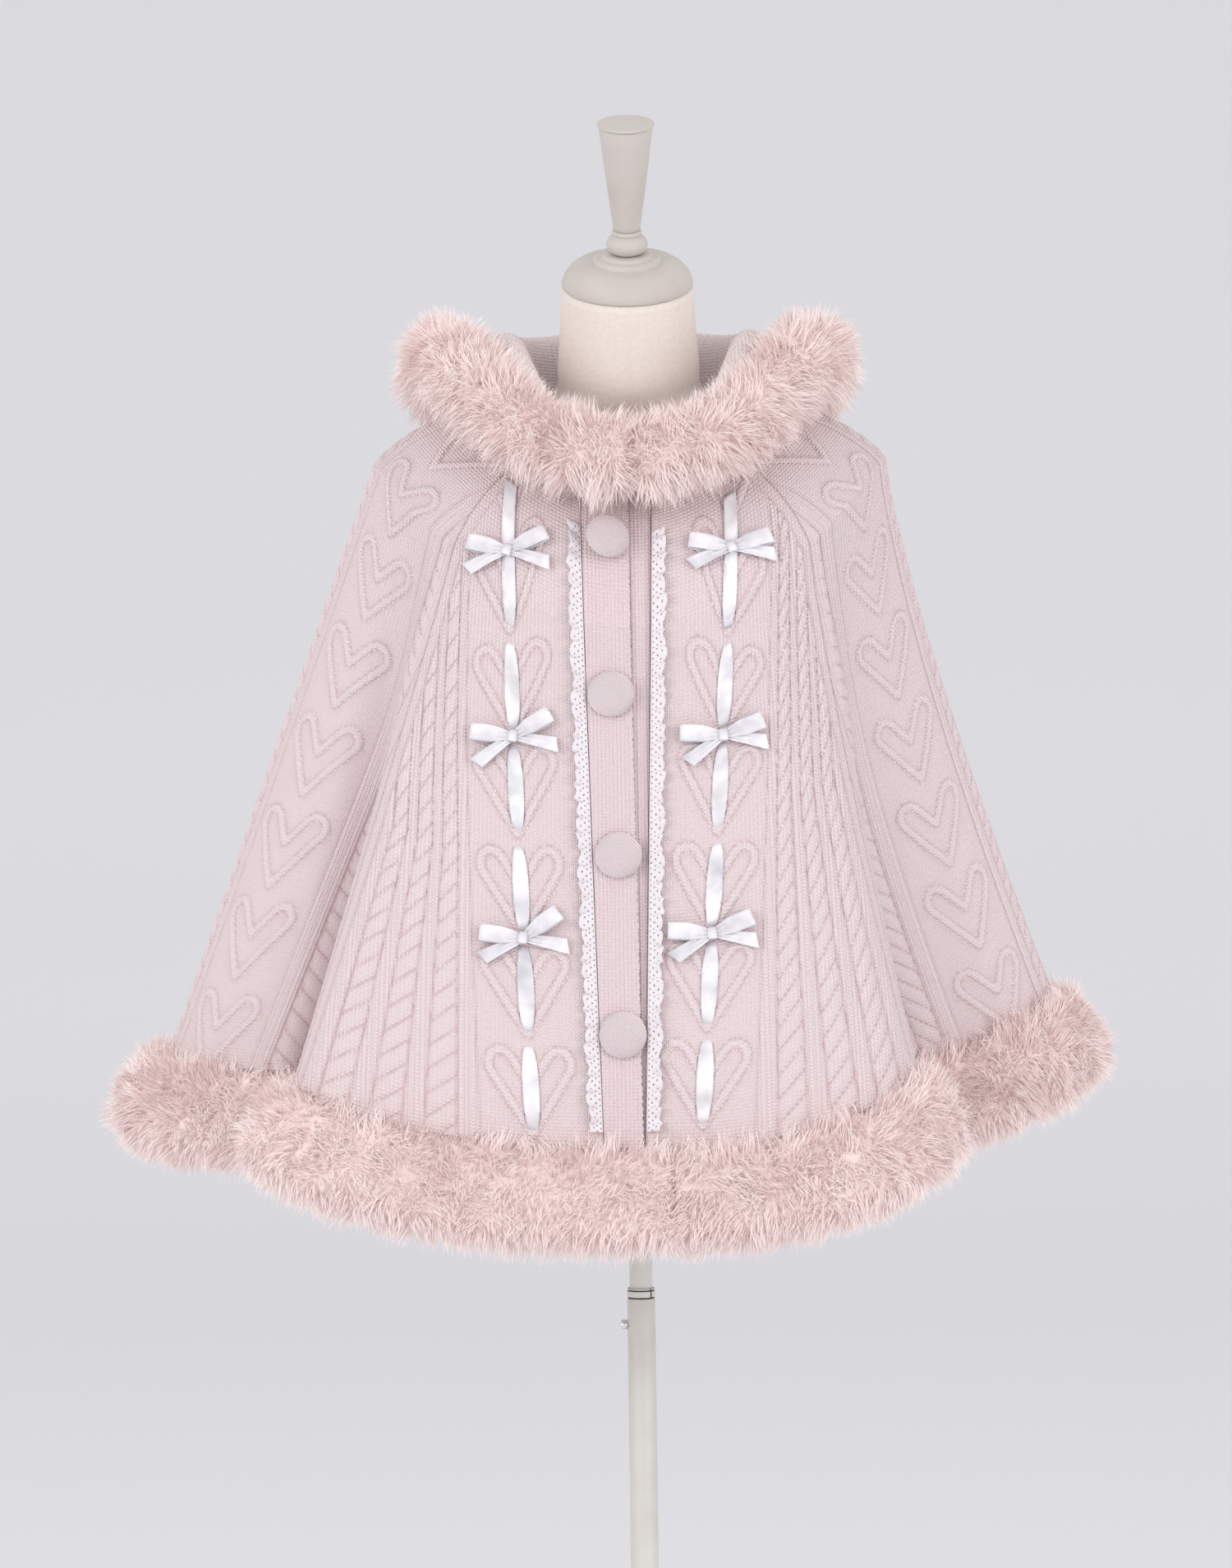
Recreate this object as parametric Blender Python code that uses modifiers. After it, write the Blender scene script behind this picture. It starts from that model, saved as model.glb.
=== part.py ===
# A cable-knit hooded poncho with fur borders, standing on a limbless dress form.
# Metres, +Z up. The front faces -Y, and left and right are the viewer's.
# The origin is the middle of the stand's underside.

import math

import bmesh
import bpy
import numpy as np
from mathutils import Matrix, Vector

# Stand and height adjustment
BASE_RADIUS = 0.170
BASE_HEIGHT = 0.014
BASE_BEVEL = 0.004
TUBE_RADIUS = 0.0112
TUBE_BORE = 0.0095
TUBE_TOP = 0.616
COLLAR_HEIGHT = 0.008
SCREW_HEIGHT = 0.595
SCREW_RADIUS = 0.004
SCREW_LENGTH = 0.0045
POST_RADIUS = 0.0092
POST_BOTTOM = 0.350

# Dress form
FORM_BOTTOM = 0.712
NECK_CENTRE = (0.0, -0.012, 1.428)
NECK_RADIUS = 0.0525
NECK_LEAN = 26.8

# Garment
GAP = 0.0003
WALL = 0.0028
SHOULDER_T = 0.22
NECK_HALF_WIDTH = 0.081
SHOULDER_HALF_WIDTH = 0.204
FRONT_LENGTH = 0.518
SLEEVE_LENGTH = 0.630
BACK_LENGTH = 0.600

# Knit relief
HEART_PITCH = 0.0766
HEART_SLOPE = 1.53
HEART_BAND = 0.0055
HEART_RAISE = 0.0022
RIB_RAISE = 0.0014
CABLE_RAISE = 0.0030
CABLE_PITCH = 0.0172
CABLE_SWAY = 0.0030
RIBBON_HALF = 0.0060

# Trim
PLACKET_RAISE = 0.0012
PLACKET_WALL = 0.0036
LACE_WALL = 0.0009
LACE_WAVES = 17
BUTTON_RADIUS = 0.0180
BUTTON_HEIGHT = 0.0080
BOW_THICKNESS = 0.0022
FUR_HALF_HEIGHT = 0.0520
HOOD_FUR_RADIUS = 0.0410

# The fold stations of the cape, from centre front (0) to centre back (12).
# angle: place round the neck in degrees; x, y, z: lower edge of the knit;
# fur_out, fur_in: half thickness of the fur border there.
FOLD_COLUMNS = ("angle", "x", "y", "z", "fur_out", "fur_in")
RIGHT_FOLDS = (
    (0, 0.000, -0.205, 0.754, 0.034, 0.018),
    (16, 0.085, -0.204, 0.757, 0.034, 0.018),
    (31, 0.168, -0.188, 0.778, 0.034, 0.018),
    (43, 0.214, -0.146, 0.806, 0.030, 0.012),
    (54, 0.188, -0.086, 0.808, 0.007, 0.007),
    (66, 0.248, -0.056, 0.816, 0.026, 0.012),
    (78, 0.303, -0.032, 0.836, 0.032, 0.018),
    (90, 0.335, 0.020, 0.856, 0.030, 0.018),
    (104, 0.312, 0.078, 0.840, 0.030, 0.018),
    (122, 0.236, 0.094, 0.812, 0.018, 0.012),
    (136, 0.198, 0.138, 0.790, 0.026, 0.012),
    (158, 0.105, 0.180, 0.772, 0.030, 0.018),
    (180, 0.000, 0.178, 0.766, 0.030, 0.018),
)
LEFT_FOLDS = (
    (0, 0.000, -0.205, 0.754, 0.034, 0.018),
    (16, 0.088, -0.205, 0.757, 0.034, 0.018),
    (31, 0.192, -0.194, 0.775, 0.036, 0.018),
    (43, 0.264, -0.158, 0.803, 0.030, 0.012),
    (54, 0.230, -0.076, 0.806, 0.007, 0.007),
    (66, 0.284, -0.092, 0.808, 0.014, 0.012),
    (78, 0.346, -0.062, 0.812, 0.034, 0.018),
    (90, 0.374, 0.000, 0.820, 0.034, 0.018),
    (104, 0.342, 0.066, 0.812, 0.032, 0.018),
    (122, 0.252, 0.086, 0.798, 0.018, 0.012),
    (136, 0.208, 0.136, 0.785, 0.026, 0.012),
    (158, 0.108, 0.180, 0.772, 0.030, 0.018),
    (180, 0.000, 0.178, 0.766, 0.030, 0.018),
)
STATIONS = 24
RAGLAN = 3.0
BACK_SEAM = 10.0
SLEEVE_RIDGE = 7.0
RIGHT_BOW = 1.25
LEFT_BOW = 1.0

# The hood from its neck seam (row 0) over the roll and down to the pouch,
# then up to the fur: y and z at centre front, x, y and z at the side, y and z
# at centre back.
HOOD_COLUMNS = ("front_y", "front_z", "side_x", "side_y", "side_z", "back_y", "back_z")
HOOD_ROWS = (
    (-0.0800, 1.2635, 0.0790, 0.0020, 1.3480, 0.0775, 1.3500),
    (-0.0835, 1.2665, 0.0835, 0.0060, 1.3780, 0.0860, 1.3920),
    (-0.0865, 1.2690, 0.0930, 0.0100, 1.3900, 0.1040, 1.4000),
    (-0.0890, 1.2710, 0.1010, 0.0140, 1.3905, 0.1260, 1.3450),
    (-0.0910, 1.2725, 0.1060, 0.0170, 1.3880, 0.1450, 1.2050),
    (-0.0930, 1.2740, 0.1085, 0.0190, 1.3865, 0.1750, 1.1380),
    (-0.0945, 1.2748, 0.1105, 0.0200, 1.3850, 0.2200, 1.1800),
)
HOOD_FUR_AXIS = (-0.1340, 1.2830, 0.1520, 0.0300, 1.3680, 0.2140, 1.3150)

# Front opening: edges as distance from the middle, at the neck and at the hem
OVER_RIGHT_EDGE = (-0.0040, 0.0020)
OVER_LEFT_EDGE = (-0.0410, -0.0270)
UNDER_LEFT_EDGE = (-0.0240, -0.0200)
UNDER_RIGHT_EDGE = (0.0165, 0.0040)
RIGHT_RIBBON_LINE = (0.0900, 0.0725, 0.0576, 0.0460)
LEFT_RIBBON_LINE = (0.1110, 0.0980, 0.0880, 0.0800)
LACE_WIDTH = 0.0130

# The first heart's tip down the front and the ribbon's lengths between heart tips
FRONT_TIPS = {1: 0.1385, -1: 0.1450}
FRONT_PITCH = 0.0732
LACE_REACH = 0.0250
RIBBON_DASHES = 6
RIBBON_INSET = 0.0060

# Torso and neck sections: height, half width, half depth, middle in y, and how
# far the section leans forward in degrees
TORSO_COLUMNS = ("z", "half_width", "half_depth", "y", "lean")
TORSO_ROWS = (
    (0.712, 0.150, 0.096, 0.000, 0),
    (0.720, 0.160, 0.104, 0.000, 0),
    (0.800, 0.166, 0.110, 0.002, 0),
    (0.880, 0.158, 0.106, 0.000, 0),
    (0.960, 0.130, 0.092, -0.002, 0),
    (1.010, 0.120, 0.086, -0.004, 0),
    (1.070, 0.132, 0.092, -0.004, 0),
    (1.140, 0.154, 0.102, -0.006, 0),
    (1.200, 0.168, 0.098, -0.002, 0),
    (1.248, 0.184, 0.084, 0.004, 0),
    (1.279, 0.1925, 0.072, 0.006, 0),
    (1.297, 0.1870, 0.060, 0.006, 4),
    (1.311, 0.1650, 0.054, 0.006, 8),
    (1.3235, 0.124, 0.044, 0.008, 8),
    (1.332, 0.088, 0.044, 0.008, 12),
    (1.346, 0.0600, 0.050, 0.003, 18),
    (1.366, 0.0570, 0.057, 0.001, 23),
    (1.395, 0.0545, 0.0545, -0.005, 25),
)


def srgb(value):
    """A screen colour such as 'E6D8DC' as linear RGBA."""
    channels = [int(value[i:i + 2], 16) / 255 for i in (0, 2, 4)]
    linear = [c / 12.92 if c <= 0.04045 else ((c + 0.055) / 1.055) ** 2.4 for c in channels]
    return (*linear, 1.0)


def material(name, colour, roughness, metallic=0.0):
    """A Principled material, made once for each name."""
    found = bpy.data.materials.get(name)
    if found:
        return found
    made = bpy.data.materials.new(name)
    made.use_nodes = True
    shader = made.node_tree.nodes["Principled BSDF"]
    shader.inputs["Base Color"].default_value = srgb(colour)
    shader.inputs["Roughness"].default_value = roughness
    shader.inputs["Metallic"].default_value = metallic
    return made


def knit():
    return material("Pink Knit", "EBD8DC", 0.9)


def fur():
    return material("Pink Fur", "E6CBC8", 1.0)


def satin():
    return material("White Satin", "F4F3F8", 0.35)


def lace():
    return material("White Lace", "ECEBF0", 0.9)


def twill():
    return material("Pink Twill", "E8D8DC", 0.8)


def linen():
    return material("Cream Linen", "E4DBD2", 0.85)


def cream_paint():
    return material("Cream Paint", "D8D4CB", 0.45)


def screw_metal():
    return material("Zinc Screw", "DADADA", 0.35, 1.0)


def clear_scene():
    for item in list(bpy.data.objects):
        bpy.data.objects.remove(item, do_unlink=True)


def new_object(name, vertices, faces, look, smooth=40):
    """A mesh object with its faces turned outward."""
    mesh = bpy.data.meshes.new(name)
    mesh.from_pydata([tuple(map(float, v)) for v in vertices], [], faces)
    box = bmesh.new()
    box.from_mesh(mesh)
    bmesh.ops.recalc_face_normals(box, faces=box.faces)
    box.to_mesh(mesh)
    box.free()
    mesh.materials.append(look)
    mesh.shade_smooth()
    mesh.set_sharp_from_angle(angle=math.radians(smooth))
    item = bpy.data.objects.new(name, mesh)
    PARTS.objects.link(item)
    return item


# Curves and rings

def spline(values, where, closed=True):
    """A smooth curve through evenly numbered values, read at any place."""
    values = np.asarray(values, float)
    where = np.asarray(where, float)
    count = len(values)
    low = np.floor(where).astype(int)
    if not closed:
        low = np.clip(low, 0, count - 2)
    part = where - low
    picks = [low + shift for shift in (-1, 0, 1, 2)]
    picks = [p % count if closed else np.clip(p, 0, count - 1) for p in picks]
    a, b, c, d = (values[p] for p in picks)
    return 0.5 * (2 * b + (c - a) * part + (2 * a - 5 * b + 4 * c - d) * part ** 2
                  + (3 * b - a - 3 * c + d) * part ** 3)


def fold_ring(column):
    """One column of the fold tables as a ring: right side out, left side back."""
    index = FOLD_COLUMNS.index(column)
    right = [row[index] for row in RIGHT_FOLDS]
    left = [row[index] for row in LEFT_FOLDS[-2:0:-1]]
    if column == "x":
        left = [-value for value in left]
    return np.array(right + left)


def ring_angle(place):
    """The angle round the neck, from centre front to the right."""
    index = FOLD_COLUMNS.index("angle")
    right = [row[index] for row in RIGHT_FOLDS]
    left = [360 - row[index] for row in LEFT_FOLDS[-2:0:-1]]
    turns = np.array([right[-1] * 0] + right[1:] + left)
    lead = np.concatenate((turns - 360, turns, turns + 360))
    return np.radians(spline(lead, np.asarray(place) % STATIONS + STATIONS, closed=False))


def bow_power(place):
    """How late the cloth swings out below the shoulder, on each side."""
    blend = 0.5 + 0.5 * np.sin(ring_angle(place))
    return LEFT_BOW + (RIGHT_BOW - LEFT_BOW) * blend


def cape_point(place, t):
    """The cloth's outer surface: place counts stations round, t runs neck to hem."""
    place = np.asarray(place, float)
    t = np.asarray(t, float)
    angle = ring_angle(place)
    sine, cosine = np.sin(angle), np.cos(angle)
    front = np.clip(cosine, 0, 1)
    rise = sine ** 2
    neck_z = np.where(cosine > 0, 1.262 + 0.083 * rise, 1.345 + 0.002 * (1 - rise))
    neck = (NECK_HALF_WIDTH * sine, 0.001 - 0.081 * cosine - 0.004 * front, neck_z)
    low_z = np.where(cosine > 0, 1.150, 1.215)
    shoulder = (SHOULDER_HALF_WIDTH * sine, -0.129 * cosine - 0.006 * front,
                low_z + (1.288 - low_z) * rise)
    hem = [spline(fold_ring(axis), place % STATIONS) for axis in ("x", "y", "z")]
    yoke = np.clip(t / SHOULDER_T, 0, 1)
    out = 0.5 * yoke + 0.5 * np.sin(yoke * math.pi / 2)
    down = 0.5 * yoke + 0.5 * (1 - np.cos(yoke * math.pi / 2))
    fall = np.clip((t - SHOULDER_T) / (1 - SHOULDER_T), 0, 1)
    swing = fall ** bow_power(place)
    point = []
    for axis, (top, mid, low) in enumerate(zip(neck, shoulder, hem)):
        ease = down if axis == 2 else out
        drop = fall if axis == 2 else swing
        point.append(top + (mid - top) * ease + (low - mid) * drop)
    return np.stack(np.broadcast_arrays(*point), axis=-1)


def cape_frame(place, t):
    """The point, outward normal and downward direction of the cloth."""
    step = 0.004
    point = cape_point(place, t)
    along = cape_point(np.asarray(place) + step, t) - cape_point(np.asarray(place) - step, t)
    high = np.clip(np.asarray(t) - step, 0, 1)
    low = np.clip(np.asarray(t) + step, 0, 1)
    down = cape_point(place, low) - cape_point(place, high)
    normal = np.cross(along, down)
    normal = -normal / np.linalg.norm(normal, axis=-1, keepdims=True)
    down = down / np.linalg.norm(down, axis=-1, keepdims=True)
    return point, normal, down


RUN_STEP = 0.02
RUN_REACH = 9.0
RUN_CACHE = {}


def run_table(origin, t):
    """Distances round the ring from an origin station, at one height."""
    key = (origin, round(float(t), 5))
    if key not in RUN_CACHE:
        places = origin + np.arange(-RUN_REACH, RUN_REACH + RUN_STEP, RUN_STEP)
        points = cape_point(places, np.full(places.shape, float(t)))
        length = np.concatenate(([0], np.cumsum(np.linalg.norm(np.diff(points, axis=0), axis=1))))
        length -= np.interp(origin, places, length)
        RUN_CACHE[key] = (places, length)
    return RUN_CACHE[key]


def place_at(origin, distance, t):
    """The station number that lies a distance round from the origin station."""
    places, length = run_table(origin, t)
    return float(np.interp(distance, length, places))


def distance_at(origin, place, t):
    places, length = run_table(origin, t)
    return float(np.interp(place, places, length))


def between(values, t):
    """Values given at even steps of t from 0 to 1, read in between."""
    return np.interp(t, np.linspace(0, 1, len(values)), values)


# Walls from columns of points

def zip_runs(faces, first, first_keys, second, second_keys):
    """Triangles between two runs of points, walked in the order of their keys."""
    i = j = 0
    while i < len(first) - 1 or j < len(second) - 1:
        step_first = j == len(second) - 1
        if i < len(first) - 1 and not step_first:
            step_first = first_keys[i + 1] <= second_keys[j + 1]
        if step_first:
            faces.append((first[i], second[j], first[i + 1]))
            i += 1
        else:
            faces.append((first[i], second[j], second[j + 1]))
            j += 1


class Wall:
    """A closed wall between an outer and an inner set of columns of points."""

    def __init__(self):
        self.vertices = []
        self.faces = []

    def add(self, points):
        start = len(self.vertices)
        self.vertices.extend(points)
        return list(range(start, start + len(points)))

    def side(self, low_edge, columns, high_edge):
        """One side: full edge columns, with cut columns of points between them.

        Each column holds its points, their heights and, on a motif, its rows' keys.
        """
        runs = [(self.add(points), heights, keys) for points, heights, keys in columns]
        for (a, heights_a, keys_a), (b, heights_b, keys_b) in zip(runs, runs[1:]):
            if keys_a is not None and keys_b is not None:
                heights_a, heights_b = keys_a, keys_b
            zip_runs(self.faces, a, heights_a, b, heights_b)
        edges = []
        for edge, order in ((low_edge, runs), (high_edge, runs[::-1])):
            edge_run = (self.add(edge[0]), edge[1])
            chain, marks = [], []
            for run, heights, _ in order:
                chain.append(run[0])
                marks.append(heights[0])
                if heights[0] == 0:
                    break
            nearest = order[0]
            chain = chain[::-1] + nearest[0][1:]
            marks = marks[::-1] + nearest[1][1:]
            zip_runs(self.faces, edge_run[0], edge_run[1], chain, marks)
            edges.append(edge_run)
        top = [run[0] for run, heights, _ in runs if heights[0] == 0]
        bottom = [run[-1] for run, _, _ in runs]
        top = [edges[0][0][0]] + top + [edges[1][0][0]]
        bottom = [edges[0][0][-1]] + bottom + [edges[1][0][-1]]
        return edges, top, bottom

    def marks(self, run):
        """How far along a run of points each one lies, from 0 to 1."""
        points = np.array([self.vertices[i] for i in run])
        steps = np.linalg.norm(np.diff(points, axis=0), axis=1)
        return np.concatenate(([0], np.cumsum(steps))) / steps.sum()

    def close(self, outer, inner):
        """The four rims between the two sides."""
        for a, b in zip(outer[0], inner[0]):
            zip_runs(self.faces, a[0], a[1], b[0], b[1])
        for a, b in zip(outer[1:], inner[1:]):
            zip_runs(self.faces, a, self.marks(a), b, self.marks(b))


def build_wall(name, outer, inner, look):
    """A wall from two sides, each a low edge, columns and a high edge."""
    wall = Wall()
    wall.close(wall.side(*outer), wall.side(*inner))
    return new_object(name, wall.vertices, wall.faces, look)


# Knit motifs

HEART_PATH = ((0.0, -0.005), (0.031, -0.0525), (0.0295, -0.060), (0.0235, -0.0655),
              (0.018, -0.0655), (0.014, -0.061), (0.0, -0.040))
HEART_LEVELS = (-0.0465, -0.040, -0.029, -0.011, -0.005, 0.0006)
HEART_ACROSS = (0.014, 0.0235, 0.031)
WIDE_HEART_LEVELS = (-0.0465, -0.040, -0.021, -0.005, 0.0006)
WIDE_HEART_ACROSS = (0.014, 0.030)
HEART_EDGE = 0.038


def heart_height(across, down):
    """The raised band of a heart whose tip is at (0, 0)."""
    point = np.array((abs(across), down))
    best = 1.0
    for start, end in zip(HEART_PATH, HEART_PATH[1:]):
        start, end = np.array(start), np.array(end)
        part = np.clip(np.dot(point - start, end - start) / np.dot(end - start, end - start), 0, 1)
        best = min(best, np.linalg.norm(point - start - (end - start) * part))
    return HEART_RAISE * max(0.0, 1 - (best / HEART_BAND) ** 2)


YOKE_ROWS = [0.0, 0.04, 0.08, 0.12, 0.155, 0.19, 0.22, 0.25, 0.29]
BODY_ROWS = [0.34, 0.43, 0.55, 0.69, 0.84, 1.0]
ROW_CLEARANCE = 0.008
EDGE_CLEARANCE = 0.0055
OPENING_CLEARANCE = 0.0010
SWAY_CLEARANCE = 0.06
LATEST_START = 0.9


class Panel:
    """A knit panel: columns at distances from an origin line, cut by two edges."""

    def __init__(self, origin, side, low, high, length, low_clearance=EDGE_CLEARANCE):
        self.low_clearance = low_clearance
        self.origin = origin
        self.side = side
        self.low = low
        self.high = high
        self.length = length

    def place(self, distance, t):
        return place_at(self.side * self.origin, self.side * distance, t)

    def inside(self, distance, t):
        return self.low(t) + self.low_clearance < distance < self.high(t) - EDGE_CLEARANCE

    def start(self, distance_of):
        """The height below which a column lies clear of the slanting seams."""
        previous = 1.0
        for t in np.linspace(1.0, 0.0, 101):
            if not self.inside(distance_of(t), t):
                low, high = t, previous
                for _ in range(12):
                    middle = (low + high) / 2
                    if self.inside(distance_of(middle), middle):
                        high = middle
                    else:
                        low = middle
                return float(high)
            previous = t
        return 0.0

    def column(self, distance_of, heights, offsets, keys=None):
        places = np.array([self.place(distance_of(t), t) for t in heights])
        point, normal, _ = cape_frame(places, np.array(heights))
        points = point + normal * np.array(offsets)[:, None]
        return points, list(heights), keys

    def plain(self, distance_of, offset=0.0, start=None):
        start = self.start(distance_of) if start is None else start
        rows = [start] + [t for t in YOKE_ROWS + BODY_ROWS if t > start + ROW_CLEARANCE]
        return self.column(distance_of, rows, [offset] * len(rows))

    def plains(self, distances, offset=0.0):
        """Plain columns, without those that the seams hide nearly all the way."""
        columns = [self.plain(lambda t, d=d: d, offset) for d in distances]
        return [column for column in columns if column[1][0] < LATEST_START]

    def hearts(self, centre_of, first_tip, across_list, levels, pitch=HEART_PITCH,
               flat_until=0.0):
        """Columns over a stack of hearts, their rows bent along the hearts' arms."""
        columns = [self.plain(lambda t: centre_of(t) - HEART_EDGE)]
        tips = np.arange(first_tip - pitch, self.length + pitch, pitch)
        for across in across_list:
            def distance_of(t, across=across):
                return centre_of(t) + across
            start = self.start(distance_of)
            bend = HEART_SLOPE * abs(across)
            rows = [(start, start * self.length + bend, 0.0)]
            for tip in tips:
                for level in levels:
                    t = (tip + level - bend) / self.length
                    if start + 0.004 < t < 0.996:
                        raised = 0.0 if abs(across) < 0.008 else heart_height(across, level - bend)
                        raised = heart_height(0, level) if across == 0 else raised
                        raised = 0.0 if abs(distance_of(t)) < flat_until else raised
                        rows.append((t, tip + level, raised))
            rows.append((1.0, self.length + bend, 0.0))
            heights, keys, offsets = (list(part) for part in zip(*rows))
            columns.append(self.column(distance_of, heights, offsets, keys))
        columns.append(self.plain(lambda t: centre_of(t) + HEART_EDGE))
        return columns

    def group(self, low_of, high_of, cables, lean):
        """Flat ribs with cables between them, spread between two lines."""
        shares = [(0.0, "groove"), (0.12, "rib"), (0.70, "rib"), (0.12, "groove")]
        for _ in range(cables):
            shares += [(0.70, "cable"), (0.70, "groove")]
            shares += [(0.12, "rib"), (0.70, "rib"), (0.12, "groove")]
        total = sum(width for width, _ in shares)
        columns = []
        reached = 0.0
        for width, kind in shares:
            reached += width

            def distance_of(t, part=reached / total):
                return low_of(t) + (high_of(t) - low_of(t)) * part
            if kind == "cable":
                columns.append(self.cable(distance_of, lean))
            else:
                columns.append(self.plain(distance_of, RIB_RAISE if kind == "rib" else 0.0))
        return columns

    def cable(self, distance_of, lean):
        """A crest that sways from side to side, once a half turn."""
        start = self.start(distance_of)
        step = CABLE_PITCH / 2 / self.length
        turns = [k for k in range(int(1 / step)) if start + 0.01 < k * step < 0.99]

        def swayed(t):
            turn = round(t / step) % 2
            inside = start + SWAY_CLEARANCE < t < 0.995
            return distance_of(t) + (CABLE_SWAY * lean * (1 - 2 * turn) if inside else 0.0)
        heights = [start] + [k * step for k in turns] + [1.0]
        offsets = [RIB_RAISE] + [CABLE_RAISE] * len(turns) + [RIB_RAISE]
        return self.column(swayed, heights, offsets)

    def edge(self, edge_of, offset):
        return self.plain(edge_of, offset, start=0.0)

    def lining(self, spacing):
        """The plain columns of the inner side."""
        low, high = self.low(1.0), self.high(1.0)
        distances = np.arange(math.ceil(low / spacing) * spacing, high, spacing)
        return self.plains([d for d in distances if d - low > 0.006 and high - d > 0.006], -WALL)


def finish_panel(name, panel, columns, spacing):
    """Close the columns between the panel's edges over a plain inner side."""
    outer = (panel.edge(panel.low, 0.0), columns, panel.edge(panel.high, 0.0))
    inner = (panel.edge(panel.low, -WALL), panel.lining(spacing), panel.edge(panel.high, -WALL))
    return build_wall(name, outer, inner, knit())


# Fronts, sleeves and back

SEAM_HALF = 0.0006
GROUP_WIDTH = 0.100
GROUP_FLARE = 0.026
GROUP_GAP = 0.0405
SLEEVE_GROUP = 0.034
SLEEVE_HEARTS = 0.075
PLAIN_STEP = 0.018
LINING_STEP = 0.022


def front_panel(side):
    """A front from its opening edge to the raglan seam; side is 1 right, -1 left."""
    if side > 0:
        name, ribbon = "front_right", RIGHT_RIBBON_LINE
        edge = UNDER_RIGHT_EDGE
    else:
        name, ribbon = "front_left", LEFT_RIBBON_LINE
        edge = (-OVER_LEFT_EDGE[0], -OVER_LEFT_EDGE[1])

    def low(t):
        return between(edge, t) + GAP

    def high(t):
        return abs(distance_at(0.0, side * RAGLAN, t)) - SEAM_HALF

    def centre(t):
        return between(ribbon, t)

    def group_end(t):
        return max(centre(t) + GROUP_WIDTH + GROUP_FLARE * t, high(t) - EDGE_CLEARANCE - 0.002)
    panel = Panel(0.0, side, low, high, FRONT_LENGTH, OPENING_CLEARANCE)
    columns = [panel.plain(lambda t: (low(t) + centre(t) - HEART_EDGE) / 2)]
    across = [-a for a in reversed(HEART_ACROSS)] + [-0.0075, 0.0075] + list(HEART_ACROSS)
    flat_until = LACE_REACH if side > 0 else 0.0
    columns += panel.hearts(centre, FRONT_TIPS[side], across, HEART_LEVELS, FRONT_PITCH, flat_until)
    columns += panel.group(lambda t: centre(t) + GROUP_GAP, group_end, 3, side)
    return finish_panel(name, panel, columns, LINING_STEP)


def wide_panel(name, origin, side, low_station, high_station, length, first_tip):
    """A sleeve or the back: ribs and cables down the middle, hearts to each side."""
    def low(t):
        return side * distance_at(side * origin, side * low_station, t) + SEAM_HALF

    def high(t):
        return side * distance_at(side * origin, side * high_station, t) - SEAM_HALF
    panel = Panel(origin, side, low, high, length)
    across = [-a for a in reversed(WIDE_HEART_ACROSS)] + [0.0] + list(WIDE_HEART_ACROSS)
    outside = SLEEVE_HEARTS + HEART_EDGE
    before = np.arange(-outside - PLAIN_STEP, low(1.0) + 0.004, -PLAIN_STEP)[::-1]
    after = np.arange(outside + PLAIN_STEP, high(1.0) - 0.004, PLAIN_STEP)
    columns = panel.plains(before)
    columns += panel.hearts(lambda t: -SLEEVE_HEARTS, first_tip, across, WIDE_HEART_LEVELS)
    columns += panel.group(lambda t: -SLEEVE_GROUP, lambda t: SLEEVE_GROUP, 2, side)
    columns += panel.hearts(lambda t: SLEEVE_HEARTS, first_tip, across, WIDE_HEART_LEVELS)
    columns += panel.plains(after)
    return finish_panel(name, panel, columns, LINING_STEP)


# Trim on the fronts

def strip(name, low_of, high_of, heights, offsets, wall, look):
    """A band down the front between two distances from the middle.

    offsets gives the outer side's height over the cloth at the low edge,
    the middle and the high edge, for each height.
    """
    panel = Panel(0.0, 1, low_of, high_of, FRONT_LENGTH)
    lines = (low_of, lambda t: (low_of(t) + high_of(t)) / 2, high_of)
    sides = []
    for drop in (0.0, wall):
        made = []
        for number, line in enumerate(lines):
            rise = [offsets(t)[number] - drop for t in heights]
            points, rows, keys = panel.column(line, heights, rise)
            rows = [t - heights[0] for t in rows]
            made.append((points, rows, keys))
        sides.append((made[0], [made[1]], made[2]))
    return build_wall(name, *sides, look)


PLACKET_ROWS = np.concatenate((np.linspace(0, 0.3, 8), np.linspace(0.37, 1.0, 9)))
UNDER_DEPTH = 0.0028
RIBBON_WALL = 0.0008
LACE_STAND = 0.0032
LACE_WAVE = 0.0011
LACE_ENDS = (0.10, 0.975)


def plackets():
    strip("placket_over", lambda t: between(OVER_LEFT_EDGE, t), lambda t: between(OVER_RIGHT_EDGE, t),
          PLACKET_ROWS, lambda t: (PLACKET_RAISE,) * 3, PLACKET_WALL, knit())
    strip("placket_under", lambda t: between(UNDER_LEFT_EDGE, t),
          lambda t: between(UNDER_RIGHT_EDGE, t), PLACKET_ROWS,
          lambda t: (-UNDER_DEPTH,) * 3, WALL, knit())


def lace_strips():
    """Gathered lace along each placket: its free edge waves."""
    heights = np.linspace(*LACE_ENDS, 2 * LACE_WAVES + 1)

    def rise(t):
        wave = math.cos((t - LACE_ENDS[0]) / (LACE_ENDS[1] - LACE_ENDS[0]) * 2 * math.pi * LACE_WAVES)
        low = GAP + LACE_WALL
        return low, (low + LACE_STAND) / 2, LACE_STAND + LACE_WALL + LACE_WAVE * wave
    strip("lace_right", lambda t: between(UNDER_RIGHT_EDGE, t) + 0.001,
          lambda t: between(UNDER_RIGHT_EDGE, t) + LACE_WIDTH, heights, rise, LACE_WALL, lace())
    strip("lace_left", lambda t: between(OVER_LEFT_EDGE, t) - LACE_WIDTH,
          lambda t: between(OVER_LEFT_EDGE, t) - 0.001, heights,
          lambda t: rise(t)[::-1], LACE_WALL, lace())


def ribbon_line(side, t):
    return side * between(RIGHT_RIBBON_LINE if side > 0 else LEFT_RIBBON_LINE, t)


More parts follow.
